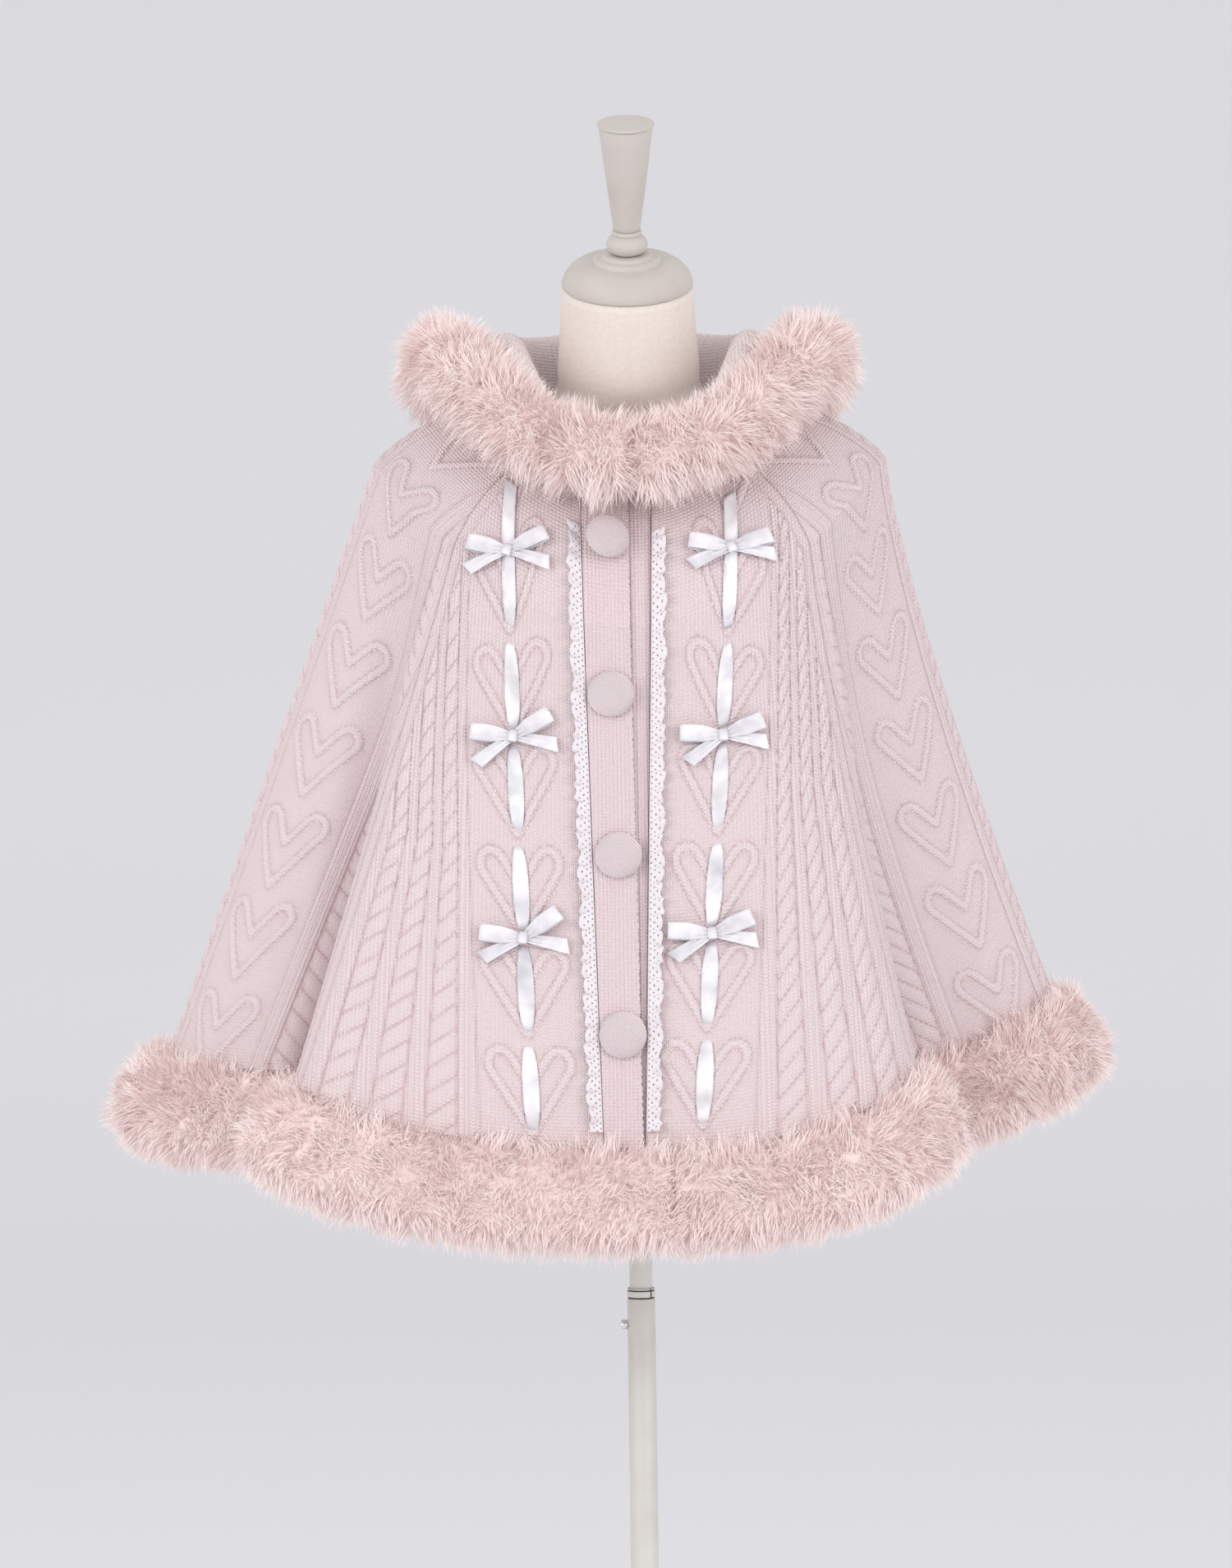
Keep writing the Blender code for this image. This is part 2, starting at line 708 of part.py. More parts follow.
def ribbons():
    """Satin ribbon threaded down the middle of the hearts, a length for each heart."""
    for side, word in ((1, "right"), (-1, "left")):
        for number in range(RIBBON_DASHES):
            low = FRONT_TIPS[side] + (number - 1) * FRONT_PITCH + RIBBON_INSET
            high = FRONT_TIPS[side] + number * FRONT_PITCH - RIBBON_INSET
            low = 0.050 if number == 0 else low
            rows = 8 if number < 2 else 4
            heights = np.linspace(low, high, rows) / FRONT_LENGTH
            strip(f"ribbon_{word}_{number + 1}", lambda t: ribbon_line(side, t) - RIBBON_HALF,
                  lambda t: ribbon_line(side, t) + RIBBON_HALF, heights,
                  lambda t: (GAP + RIBBON_WALL,) * 3, RIBBON_WALL, satin())


# side, length down from the neck, then the angles of the right loop, the right
# tail, the left tail and the left loop, in degrees from the ring's own direction
BOW_COLUMNS = ("side", "down", "right_loop", "right_tail", "left_tail", "left_loop")
BOWS = (
    (-1, 0.0916, 43, 0, 221, 183),
    (-1, 0.2182, 37, -5, 222, 179),
    (-1, 0.3646, 41, -6, 210, 177),
    (1, 0.0830, 2, -25, 186, 153),
    (1, 0.2117, 17, -12, 213, 174),
    (1, 0.3581, 19, -12, 209, 173),
)
BOW_REACH = 0.0345
BOW_END = 0.0060
BOW_WAIST = 0.0045
BOW_CROTCH = 0.0150
BOW_STAND = 0.0026


def trim_matrix(distance, t, offset):
    """A frame on the cloth: X along the ring, Y up the cloth, Z outward."""
    point, normal, down = cape_frame(place_at(0.0, distance, t), t)
    normal, up = Vector(normal), -Vector(down)
    along = up.cross(normal)
    turned = Matrix((along, up, normal)).transposed().to_4x4()
    turned.translation = Vector(point) + normal * offset
    return turned


def polar(reach, degrees, aside=0.0):
    angle = math.radians(degrees)
    return (reach * math.cos(angle) - aside * math.sin(angle),
            reach * math.sin(angle) + aside * math.cos(angle))


def bows():
    for number, (side, down, right_loop, right_tail, left_tail, left_loop) in enumerate(BOWS):
        arms = (right_loop, right_tail, left_tail - 360, left_loop - 360)
        crotches = ((BOW_CROTCH, (right_loop + right_tail) / 2), (BOW_WAIST, -90),
                    (BOW_CROTCH, (left_tail + left_loop) / 2 - 360), (BOW_WAIST, -270))
        outline = []
        for arm, (reach, middle) in zip(arms, crotches):
            outline.append(polar(BOW_REACH, arm, BOW_END))
            outline.append(polar(BOW_REACH, arm, -BOW_END))
            outline.append(polar(reach, middle))
        shape = bpy.data.curves.new("bow", "CURVE")
        shape.dimensions = "2D"
        shape.fill_mode = "BOTH"
        shape.extrude = BOW_THICKNESS / 2
        line = shape.splines.new("POLY")
        line.points.add(len(outline) - 1)
        for point, (x, y) in zip(line.points, outline):
            point.co = (x, y, 0.0, 1.0)
        line.use_cyclic_u = True
        shape.materials.append(satin())
        word = "right" if side > 0 else "left"
        item = bpy.data.objects.new(f"bow_{word}_{number % 3 + 1}", shape)
        t = down / FRONT_LENGTH
        item.matrix_world = trim_matrix(ribbon_line(side, t), t, BOW_STAND + BOW_THICKNESS / 2)
        PARTS.objects.link(item)


def turned(name, profile, steps, look, matrix):
    """A turned piece: radius and height pairs from the top centre down and in."""
    mesh = bpy.data.meshes.new(name)
    edges = [(i, i + 1) for i in range(len(profile) - 1)]
    closed = profile[0][0] > 0
    if closed:
        edges.append((len(profile) - 1, 0))
    mesh.from_pydata([(r, 0.0, z) for r, z in profile], edges, [])
    mesh.materials.append(look)
    item = bpy.data.objects.new(name, mesh)
    item.matrix_world = matrix
    spin = item.modifiers.new("Turn", "SCREW")
    spin.steps = spin.render_steps = steps
    spin.use_merge_vertices = True
    spin.merge_threshold = 0.00001
    spin.use_smooth_shade = True
    PARTS.objects.link(item)
    return item


BUTTON_COLUMNS = ("down", "distance", "turn", "lift")
BUTTONS = (
    (0.0590, -0.0190, 24, 0.0062),
    (0.1682, -0.0175, 0, 0.0),
    (0.2934, -0.0135, 0, 0.0),
    (0.4314, -0.0120, 0, 0.0),
)
BUTTON_PROFILE = ((0.0, 1.0), (0.45, 0.93), (0.82, 0.68), (1.0, 0.30), (0.93, 0.0), (0.0, 0.0))


def buttons():
    """Cloth-covered domed buttons down the placket."""
    profile = [(r * BUTTON_RADIUS, z * BUTTON_HEIGHT) for r, z in BUTTON_PROFILE]
    for number, (down, distance, turn, lift) in enumerate(BUTTONS):
        place = trim_matrix(distance, down / FRONT_LENGTH, PLACKET_RAISE + GAP * 2 + lift)
        place = place @ Matrix.Rotation(math.radians(turn), 4, "Y")
        turned(f"button_{number + 1}", profile, 12, twill(), place)


# Fur borders

FUR_SIDES = 10
FUR_POWER = 0.82


def rounded(value):
    return math.copysign(abs(value) ** FUR_POWER, value)


def loft(name, rings, look):
    """A closed body through rings of points, with flat ends."""
    count = len(rings[0])
    vertices = [point for ring in rings for point in ring]
    faces = []
    for row in range(len(rings) - 1):
        for i in range(count):
            j = (i + 1) % count
            faces.append((row * count + i, row * count + j, (row + 1) * count + j, (row + 1) * count + i))
    faces.append(tuple(range(count)))
    faces.append(tuple((len(rings) - 1) * count + i for i in range(count)))
    return new_object(name, vertices, faces, look)


def hem_section(place):
    """One section of the hem's fur, hanging just under the knit's lower edge."""
    point, normal, down = cape_frame(place, 1.0)
    ring_out = spline(fold_ring("fur_out"), place % STATIONS)
    ring_in = spline(fold_ring("fur_in"), place % STATIONS)
    centre = point - normal * WALL / 2 + down * (FUR_HALF_HEIGHT + FUR_DROP)
    section = []
    for number in range(FUR_SIDES):
        angle = 2 * math.pi * (number + 0.5) / FUR_SIDES + math.pi / FUR_SIDES
        across = rounded(math.sin(angle))
        reach = ring_out if across > 0 else ring_in
        section.append(centre + normal * across * reach
                       - down * rounded(math.cos(angle)) * FUR_HALF_HEIGHT)
    return section


FUR_SPLIT = 3.5
BACK_FUR_SPLIT = 9.5
FUR_SEAM = 0.004
FUR_DROP = 0.0008
FRONT_FUR_MEET = 0.30


def hem_fur():
    spans = (
        ("hem_fur_front_right", FRONT_FUR_MEET, FUR_SPLIT, 9),
        ("hem_fur_sleeve_right", FUR_SPLIT, BACK_FUR_SPLIT, 17),
        ("hem_fur_back", BACK_FUR_SPLIT, STATIONS - BACK_FUR_SPLIT, 13),
        ("hem_fur_sleeve_left", STATIONS - BACK_FUR_SPLIT, STATIONS - FUR_SPLIT, 17),
        ("hem_fur_front_left", -FUR_SPLIT, FRONT_FUR_MEET, 10),
    )
    for name, first, last, rows in spans:
        places = np.linspace(first + FUR_SEAM, last - FUR_SEAM, rows)
        loft(name, [hem_section(float(place)) for place in places], fur())


# Hood

def ringed(row, angle):
    """A point of a ring given at centre front, at the side and at centre back."""
    front_y, front_z, side_x, side_y, side_z, back_y, back_z = row
    front = max(0.0, math.cos(angle))
    back = max(0.0, -math.cos(angle))
    return np.array((side_x * math.sin(angle),
                     side_y + (front_y - side_y) * front + (back_y - side_y) * back,
                     side_z + (front_z - side_z) * front ** 2 + (back_z - side_z) * back ** 2))


HOOD_ENDS = (math.radians(3), math.radians(357))
HOOD_STEPS = (0.0, 1.0, 2.0, 2.7, 3.5, 4.3, 5.0, 6.0)
HOOD_COUNT = 25
NECK_LIFT = 0.0012
FRONT_LIFT = 0.0016
FUR_AXIS_STEPS = 121
HOOD_CLEARANCE = 0.0075
HOOD_FUR_SEAM = 0.0015
RIM_GAP = 0.0009

# how far the fur border is lifted over the shoulders, against degrees from centre front
SHOULDER_PLACES = (0, 27, 39, 51, 63, 75, 87, 100)
SHOULDER_LIFTS = (0, 0.0, 0.0028, 0.0098, 0.0133, 0.0093, 0.0028, 0)

# how far below the fur's inner side the hood meets it, against degrees from centre back
RIM_PLACES = (0, 30, 60, 90, 110)
RIM_TURNS = (90, 70, 36, 4, -8)


def fur_radius(angle):
    front = max(0.0, math.cos(angle))
    return HOOD_FUR_RADIUS - 0.005 * front


def fur_middle(angle):
    """The middle line of the hood's fur border, lifted clear of the shoulders."""
    from_back = abs(math.degrees(angle) - 180)
    lift = np.interp(180 - from_back, SHOULDER_PLACES, SHOULDER_LIFTS)
    return ringed(HOOD_FUR_AXIS, angle) + np.array((0.0, 0.0, lift))


def fur_axes(angle):
    """The middle of the hood's fur border, and its outward and upward directions."""
    ahead = fur_middle(angle + 0.01) - fur_middle(angle - 0.01)
    aside = np.cross(ahead, (0.0, 0.0, 1.0))
    aside /= np.linalg.norm(aside)
    up = np.cross(aside, ahead)
    return fur_middle(angle), aside, up / np.linalg.norm(up)


def clear_of_fur(point):
    """Push a point of the hood out of the fur border's tube."""
    angles = np.linspace(*HOOD_ENDS, FUR_AXIS_STEPS)
    middles = np.array([fur_middle(angle) for angle in angles])
    keep = np.array([fur_radius(angle) for angle in angles]) + HOOD_CLEARANCE
    reach = np.linalg.norm(point - middles, axis=1)
    worst = int(np.argmin(reach - keep))
    if reach[worst] < keep[worst]:
        return middles[worst] + (point - middles[worst]) / reach[worst] * keep[worst]
    return point


def hood_column(angle):
    """The hood's profile at one angle round the neck, from the seam to the fur."""
    rows = np.array([ringed(row, angle) for row in HOOD_ROWS])
    rows[0] = (0.0796 * math.sin(angle), 0.001 - 0.0796 * math.cos(angle)
               - 0.004 * max(0.0, math.cos(angle)),
               neck_height(angle) + NECK_LIFT + FRONT_LIFT * max(0.0, math.cos(angle)))
    points = [np.array([spline(rows[:, axis], step, closed=False) for axis in range(3)])
              for step in HOOD_STEPS]
    points = [clear_of_fur(point) for point in points]
    middle, aside, up = fur_axes(angle)
    turn = math.radians(np.interp(abs(math.degrees(angle) - 180), RIM_PLACES, RIM_TURNS))
    inward = -aside * math.cos(turn) - up * math.sin(turn)
    points.append(middle + inward * (fur_radius(angle) + RIM_GAP))
    return points


def neck_height(angle):
    rise = math.sin(angle) ** 2
    return 1.262 + 0.083 * rise if math.cos(angle) > 0 else 1.345 + 0.002 * (1 - rise)


def hood():
    angles = np.linspace(*HOOD_ENDS, HOOD_COUNT)
    grid = np.array([hood_column(float(angle)) for angle in angles])
    across = np.gradient(grid, axis=0)
    along = np.gradient(grid, axis=1)
    normal = np.cross(across, along)
    normal /= np.linalg.norm(normal, axis=-1, keepdims=True)
    for column, angle in enumerate(angles):
        away = grid[column, -1] - fur_axes(angle)[0]
        away /= np.linalg.norm(away)
        grid[column, -1] += away * abs(np.dot(normal[column, -1], away)) * WALL / 2
    marks = [row / (grid.shape[1] - 1) for row in range(grid.shape[1])]
    sides = []
    for offset in (WALL / 2, -WALL / 2):
        shifted = grid + normal * offset
        columns = [(list(column), marks, marks) for column in shifted]
        sides.append((columns[0], columns[1:-1], columns[-1]))
    build_wall("hood", *sides, knit())


def hood_fur():
    """The hood's fur border: a thick tube from one front edge round to the other."""
    columns = np.linspace(*HOOD_ENDS, HOOD_COUNT)
    for name, first, last in (("hood_fur_right", 0, 8), ("hood_fur_back", 8, 16),
                              ("hood_fur_left", 16, HOOD_COUNT - 1)):
        angles = columns[first:last + 1].copy()
        angles[0] += HOOD_FUR_SEAM
        angles[-1] -= HOOD_FUR_SEAM
        rings = []
        for angle in angles:
            middle, aside, up = fur_axes(angle)
            radius = fur_radius(angle)
            rings.append([middle + aside * math.cos(turn) * radius + up * math.sin(turn) * radius
                          for turn in np.linspace(0, 2 * math.pi, FUR_SIDES, endpoint=False)])
        loft(name, rings, fur())


# Dress form and stand

FORM_SIDES = 20
FORM_POWER = 0.88
TURN_STEPS = 18

# radius and height over the neck's top, along the tilted neck
CAP_PROFILE = ((0.0, 0.0215), (0.0190, 0.0215), (0.0205, 0.0205), (0.0245, 0.0200), (0.0275, 0.0175),
               (0.0400, 0.0130), (0.0485, 0.0080), (0.0522, 0.0020), (0.0525, 0.0), (0.0, 0.0))
BULB_PROFILE = ((0.0, 0.0455), (0.0108, 0.0455), (0.0120, 0.0440), (0.0112, 0.0412), (0.0150, 0.0395),
                (0.0167, 0.0350), (0.0158, 0.0290), (0.0118, 0.0220), (0.0, 0.0220))
FINIAL_PROFILE = ((0.0, 0.1308), (0.0208, 0.1308), (0.0212, 0.1290), (0.0102, 0.0460), (0.0, 0.0460))
LID_PROFILE = ((0.0, 0.1335), (0.0218, 0.1333), (0.0224, 0.1320), (0.0220, 0.1312), (0.0, 0.1312))
BASE_PROFILE = ((0.0, BASE_HEIGHT), (0.030, BASE_HEIGHT), (0.120, BASE_HEIGHT - 0.003),
                (BASE_RADIUS - BASE_BEVEL, BASE_HEIGHT - 0.006), (BASE_RADIUS, BASE_HEIGHT - 0.010),
                (BASE_RADIUS, 0.0), (0.0, 0.0))


def dress_form():
    """Torso and neck, without arms, head or legs."""
    angles = [2 * math.pi * i / FORM_SIDES for i in range(FORM_SIDES)]

    def ring(z, half_width, half_depth, y, lean):
        power = FORM_POWER if half_width > NECK_RADIUS * 1.1 else 1.0
        lean = math.radians(lean)
        points = []
        for angle in angles:
            x = half_width * math.copysign(abs(math.cos(angle)) ** power, math.cos(angle))
            depth = half_depth * math.copysign(abs(math.sin(angle)) ** power, math.sin(angle))
            points.append((x, y + depth * math.cos(lean), z + depth * math.sin(lean)))
        return points
    rings = [ring(*row) for row in TORSO_ROWS]
    rings.append(ring(NECK_CENTRE[2], NECK_RADIUS, NECK_RADIUS, NECK_CENTRE[1], NECK_LEAN))
    loft("torso", rings, linen())


def neck_matrix():
    return Matrix.Translation(NECK_CENTRE) @ Matrix.Rotation(math.radians(NECK_LEAN), 4, "X")


def cap_and_finial():
    place = neck_matrix() @ Matrix.Translation((0.0, 0.0, GAP * 1.5))
    for name, profile in (("neck_cap", CAP_PROFILE), ("finial_bulb", BULB_PROFILE),
                          ("finial", FINIAL_PROFILE), ("finial_lid", LID_PROFILE)):
        turned(name, profile, TURN_STEPS, cream_paint(), place)


def pipe(low, high, inner, outer):
    return ((outer, high), (outer, low), (inner, low), (inner, high))


def stand():
    """A weighted disc, a tube with a collar and a set screw, and the post inside it."""
    turned("base", BASE_PROFILE, 32, cream_paint(), Matrix())
    turned("tube", pipe(BASE_HEIGHT + GAP, TUBE_TOP, TUBE_BORE, TUBE_RADIUS), TURN_STEPS,
           cream_paint(), Matrix())
    low = TUBE_TOP + GAP
    turned("collar", pipe(low, low + COLLAR_HEIGHT, TUBE_BORE, TUBE_RADIUS), TURN_STEPS,
           cream_paint(), Matrix())
    post = ((0.0, FORM_BOTTOM - GAP), (POST_RADIUS, FORM_BOTTOM - GAP), (POST_RADIUS, POST_BOTTOM),
            (0.0, POST_BOTTOM))
    turned("post", post, TURN_STEPS, cream_paint(), Matrix())
    screw = ((0.0, SCREW_LENGTH), (SCREW_RADIUS * 0.8, SCREW_LENGTH),
             (SCREW_RADIUS, SCREW_LENGTH * 0.75), (SCREW_RADIUS, 0.0), (0.0, 0.0))
    place = Matrix.Translation((-TUBE_RADIUS - GAP, 0.0, SCREW_HEIGHT))
    turned("set_screw", screw, 12, screw_metal(), place @ Matrix.Rotation(-math.pi / 2, 4, "Y"))


PARTS = bpy.data.collections.new("Poncho on Dress Form")


def main():
    clear_scene()
    bpy.context.scene.collection.children.link(PARTS)
    stand()
    dress_form()
    cap_and_finial()
    for side in (1, -1):
        front_panel(side)
    wide_panel("sleeve_right", SLEEVE_RIDGE, 1, RAGLAN, BACK_SEAM, SLEEVE_LENGTH, 0.100)
    wide_panel("sleeve_left", SLEEVE_RIDGE, -1, RAGLAN, BACK_SEAM, SLEEVE_LENGTH, 0.100)
    wide_panel("back", 12.0, 1, BACK_SEAM, 24.0 - BACK_SEAM, BACK_LENGTH, 0.140)
    plackets()
    lace_strips()
    ribbons()
    bows()
    buttons()
    hood()
    hood_fur()
    hem_fur()


main()
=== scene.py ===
# %% [markdown]
# # A cable-knit poncho on a dress form
#
# Plain solids are dressed as a hooded poncho: cable knit, fur borders, satin ribbon and bows, lace and
# covered buttons, over a linen dress form on a pole stand. Sizes are metres, except in tables that say
# millimetres; +Z is up and the front faces -Y. Left and right are the viewer's.

# %% Load the frame
import math
from functools import partialmethod

import bmesh
import bpy
import numpy as np
from mathutils import Matrix, Vector


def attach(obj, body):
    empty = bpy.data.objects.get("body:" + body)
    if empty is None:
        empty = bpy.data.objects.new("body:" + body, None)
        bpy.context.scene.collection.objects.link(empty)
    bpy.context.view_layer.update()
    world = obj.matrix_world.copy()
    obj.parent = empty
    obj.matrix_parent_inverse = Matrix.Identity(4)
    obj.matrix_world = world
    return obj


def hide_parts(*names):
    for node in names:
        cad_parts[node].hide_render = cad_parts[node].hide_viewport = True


FULL_TURN = 2 * math.pi
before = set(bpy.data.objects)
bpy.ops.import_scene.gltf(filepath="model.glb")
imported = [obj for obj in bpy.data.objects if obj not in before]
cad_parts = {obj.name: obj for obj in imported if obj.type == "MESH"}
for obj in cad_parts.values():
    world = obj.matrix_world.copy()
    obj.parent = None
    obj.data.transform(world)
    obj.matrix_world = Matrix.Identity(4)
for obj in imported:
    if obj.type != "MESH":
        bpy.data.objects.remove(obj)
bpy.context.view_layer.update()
for item in bpy.context.selected_objects:
    item.select_set(False)

# %% [markdown]
# ## Camera
#
# The photograph was taken level, from some three metres away with a longish lens. The form's axis leans a
# little to the left at the top, which is a small roll of the camera.

# %% Camera
def link_object(name, data):
    """A new object for this data, in the scene."""
    made = bpy.data.objects.new(name, data)
    bpy.context.collection.objects.link(made)
    return made


camera = link_object("Photo View", bpy.data.cameras.new("Photo View"))
camera.data.lens = 91.5
camera.data.sensor_width = 36.0
camera.data.clip_end = 30.0
camera.location = (-0.0146, -3.2, 1.029)
camera.rotation_euler = (math.pi / 2, math.radians(0.784), 0.0)
bpy.context.scene.camera = camera
print("camera lens", camera.data.lens, "mm")

# %% [markdown]
# ## Helpers for meshes
#
# Knit, fur and lace have tens of thousands of points, so their meshes are filled from arrays. A cloth is a
# wall: a fine outer side that carries the relief, a plain inner side and four rims.

# %% Mesh helpers
def fill(data, key, values, kind=np.float32):
    data.foreach_set(key, np.asarray(values, kind).ravel())


def new_piece(name, points, quads, triangles, look, uv=None, marks=None):
    """A mesh object on the form's body, from arrays of points, quads and triangles."""
    quads = np.asarray(quads, np.int32).reshape(-1, 4)
    triangles = np.asarray(triangles, np.int32).reshape(-1, 3)
    corners = np.concatenate((quads.ravel(), triangles.ravel()))
    totals = np.repeat((4, 3), (len(quads), len(triangles)))
    mesh = bpy.data.meshes.new(name)
    mesh.vertices.add(len(points))
    mesh.loops.add(len(corners))
    mesh.polygons.add(len(totals))
    fill(mesh.vertices, "co", points)
    fill(mesh.loops, "vertex_index", corners, np.int32)
    fill(mesh.polygons, "loop_start", np.cumsum(totals) - totals, np.int32)
    fill(mesh.polygons, "loop_total", totals, np.int32)
    mesh.update(calc_edges=True)
    if uv is not None:
        fill(mesh.uv_layers.new(name="Cloth").data, "uv", np.asarray(uv, np.float32)[corners])
    for mark, values in (marks or {}).items():
        fill(mesh.attributes.new(mark, "FLOAT", "POINT").data, "value", values)
    mesh.materials.append(look)
    fill(mesh.polygons, "use_smooth", totals > 0, bool)
    piece = link_object(name, mesh)
    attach(piece, "form")
    return piece


def face_outward(piece):
    """Turn every face of a closed piece outward."""
    shell = bmesh.new()
    shell.from_mesh(piece.data)
    bmesh.ops.recalc_face_normals(shell, faces=shell.faces)
    shell.to_mesh(piece.data)
    shell.free()


def thicken(piece, thickness, offset=-1.0):
    """Give a sheet its real thickness."""
    wall = piece.modifiers.new("Thickness", "SOLIDIFY")
    wall.thickness = thickness
    wall.offset = offset
    bpy.context.view_layer.objects.active = piece
    piece.select_set(True)
    bpy.ops.object.modifier_apply(modifier=wall.name)
    piece.select_set(False)


def grid_quads(rows, columns, start=0, wrap=False):
    """Quads between the rows and columns of a grid of points."""
    index = start + np.arange(rows * columns).reshape(rows, columns)
    if wrap:
        index = np.concatenate((index, index[:, :1]), axis=1)
    corners = (index[:-1, :-1], index[:-1, 1:], index[1:, 1:], index[1:, :-1])
    return np.stack(corners, axis=-1).reshape(-1, 4)


def grid_area(grid):
    """The area of a grid of points, in square metres."""
    sides = grid[1:, :-1] - grid[:-1, :-1], grid[:-1, 1:] - grid[:-1, :-1]
    return float(np.linalg.norm(np.cross(*sides), axis=-1).sum())


def zip_runs(first, second):
    """Triangles between two runs of points that both go from 0 to 1."""
    steps = [(place / (len(run) - 1), turn) for turn, run in enumerate((first, second))
             for place in range(1, len(run))]
    triangles = []
    i = j = 0
    for _, turn in sorted(steps):
        triangles.append((first[i], second[j], second[j + 1] if turn else first[i + 1]))
        i, j = i + 1 - turn, j + turn
    return triangles


def near_mean(line):
    return np.convolve(np.pad(line, 2, "edge"), np.ones(5) / 5, "valid")


def painted_hollow_shade(raised, scale):
    """From 0 in a hollow to 1 on a crest: a height against the mean height near it, used as painted shade
    that darkens the hollows.
    """
    near = raised
    for axis in (0, 1):
        near = np.apply_along_axis(near_mean, axis, near)
    return np.clip(0.5 + (raised - near) / scale, 0, 1)


def even_picks(count, few):
    """A few whole numbers spread evenly from the first to the last of a count."""
    return np.linspace(0, count - 1, few).round().astype(int)


PLAIN_MARKS = {"tone": 0.6, "edge": 1.0, "valley": 1.0, "twist": 0.0, "cable": 0.0, "rib": 0.0}


def cloth_wall(name, outer, inner, look, uv, marks=None):
    """A closed wall: outer and inner are grids of points, the inner one coarser."""
    (rows, columns), (few_rows, few_columns) = outer.shape[:2], inner.shape[:2]
    count, few = rows * columns, few_rows * few_columns
    a = np.arange(count).reshape(rows, columns)
    b = count + np.arange(few).reshape(few_rows, few_columns)
    quads = np.concatenate((grid_quads(rows, columns), grid_quads(few_rows, few_columns, count)))
    rims = []
    for far, near in ((a[0], b[0]), (a[-1], b[-1]), (a[:, 0], b[:, 0]), (a[:, -1], b[:, -1])):
        rims += zip_runs(list(far), list(near))
    points = np.concatenate((outer.reshape(-1, 3), inner.reshape(-1, 3)))
    inner_uv = uv[np.ix_(even_picks(rows, few_rows), even_picks(columns, few_columns))]
    all_uv = np.concatenate((uv.reshape(-1, 2), inner_uv.reshape(-1, 2)))
    all_marks = {}
    for mark, plain in PLAIN_MARKS.items():
        values = (marks or {}).get(mark, np.full((rows, columns), plain))
        all_marks[mark] = np.concatenate((values.ravel(), np.full(few, plain)))
    piece = new_piece(name, points, quads, rims, look, all_uv, all_marks)
    face_outward(piece)
    return piece


# %% [markdown]
# ## Materials
#
# Colours are screen values turned to linear ones. Patterns follow the real stitch, thread or twill line.

# %% Material helpers
def linear(value):
    """A screen colour such as 'E6D8DC' as linear RGBA."""
    channels = [int(value[i:i + 2], 16) / 255 for i in (0, 2, 4)]
    return (*[c / 12.92 if c <= 0.04045 else ((c + 0.055) / 1.055) ** 2.4 for c in channels], 1.0)


def blank_material(name, colour, roughness, **sockets):
    """A Principled material with its fixed sockets set, and its shader node."""
    made = bpy.data.materials.new(name)
    made.use_nodes = True
    shader = made.node_tree.nodes["Principled BSDF"]
    shader.inputs["Base Color"].default_value = linear(colour)
    shader.inputs["Roughness"].default_value = roughness
    for socket, value in sockets.items():
        shader.inputs[socket.replace("_", " ")].default_value = value
    return made, made.node_tree, shader


def add_node(tree, kind, inputs=(), **settings):
    """One node with its settings; inputs are values, signals or sockets, in order."""
    made = tree.nodes.new(kind)
    for key, value in settings.items():
        setattr(made, key, value)
    for number, value in enumerate(inputs):
        value = getattr(value, "socket", value)
        if isinstance(value, bpy.types.NodeSocket):
            tree.links.new(value, made.inputs[number])
        else:
            made.inputs[number].default_value = value
    return made


class Signal:
    """A shader value that can be reckoned with like a number."""

    def __init__(self, socket):
        self.socket = socket

    def to(self, operation, *others):
        made = add_node(self.socket.id_data, "ShaderNodeMath", (self, *others), operation=operation)
        return Signal(made.outputs[0])

    __add__ = partialmethod(to, "ADD")
    __sub__ = partialmethod(to, "SUBTRACT")
    __mul__ = partialmethod(to, "MULTIPLY")
    __truediv__ = partialmethod(to, "DIVIDE")
    __pow__ = partialmethod(to, "POWER")

    def scaled(self, factor, base):
        return self.to("MULTIPLY_ADD", factor, base)

    def waved(self, length):
        return (self * (FULL_TURN / length)).to("SINE")


def mark_signal(tree, name):
    return Signal(add_node(tree, "ShaderNodeAttribute", attribute_name=name).outputs["Fac"])


def noise(tree, place, scale, detail=2.0):
    made = add_node(tree, "ShaderNodeTexNoise", (place,))
    made.inputs["Scale"].default_value = scale
    made.inputs["Detail"].default_value = detail
    return Signal(made.outputs[0])


def split(tree, place):
    return [Signal(part) for part in add_node(tree, "ShaderNodeSeparateXYZ", (place,)).outputs]


def cloth_place(tree):
    """The cloth's own coordinates in metres, across and down."""
    return add_node(tree, "ShaderNodeUVMap", uv_map="Cloth").outputs[0]


def object_place(tree):
    return add_node(tree, "ShaderNodeTexCoord").outputs["Object"]


def bump(tree, shader, height, distance, strength=1.0):
    made = add_node(tree, "ShaderNodeBump", (strength, distance))
    tree.links.new(height.socket, made.inputs["Height"])
    tree.links.new(made.outputs[0], shader.inputs["Normal"])


def colour_by(tree, shader, factor, *stops):
    """The base colour from a ramp of (place, screen colour) stops."""
    made = add_node(tree, "ShaderNodeValToRGB", (factor,))
    elements = made.color_ramp.elements
    while len(elements) < len(stops):
        elements.new(0.5)
    for element, (place, colour) in zip(elements, stops):
        element.position = place
        element.color = linear(colour)
    tree.links.new(made.outputs[0], shader.inputs["Base Color"])


# %% [markdown]
# Acrylic knit, matt and slightly fluffy. A stockinette stitch is a V about 3.4 mm wide and 2.6 mm tall:
# its two legs lean toward the middle, which a sine of height plus distance from the middle draws.

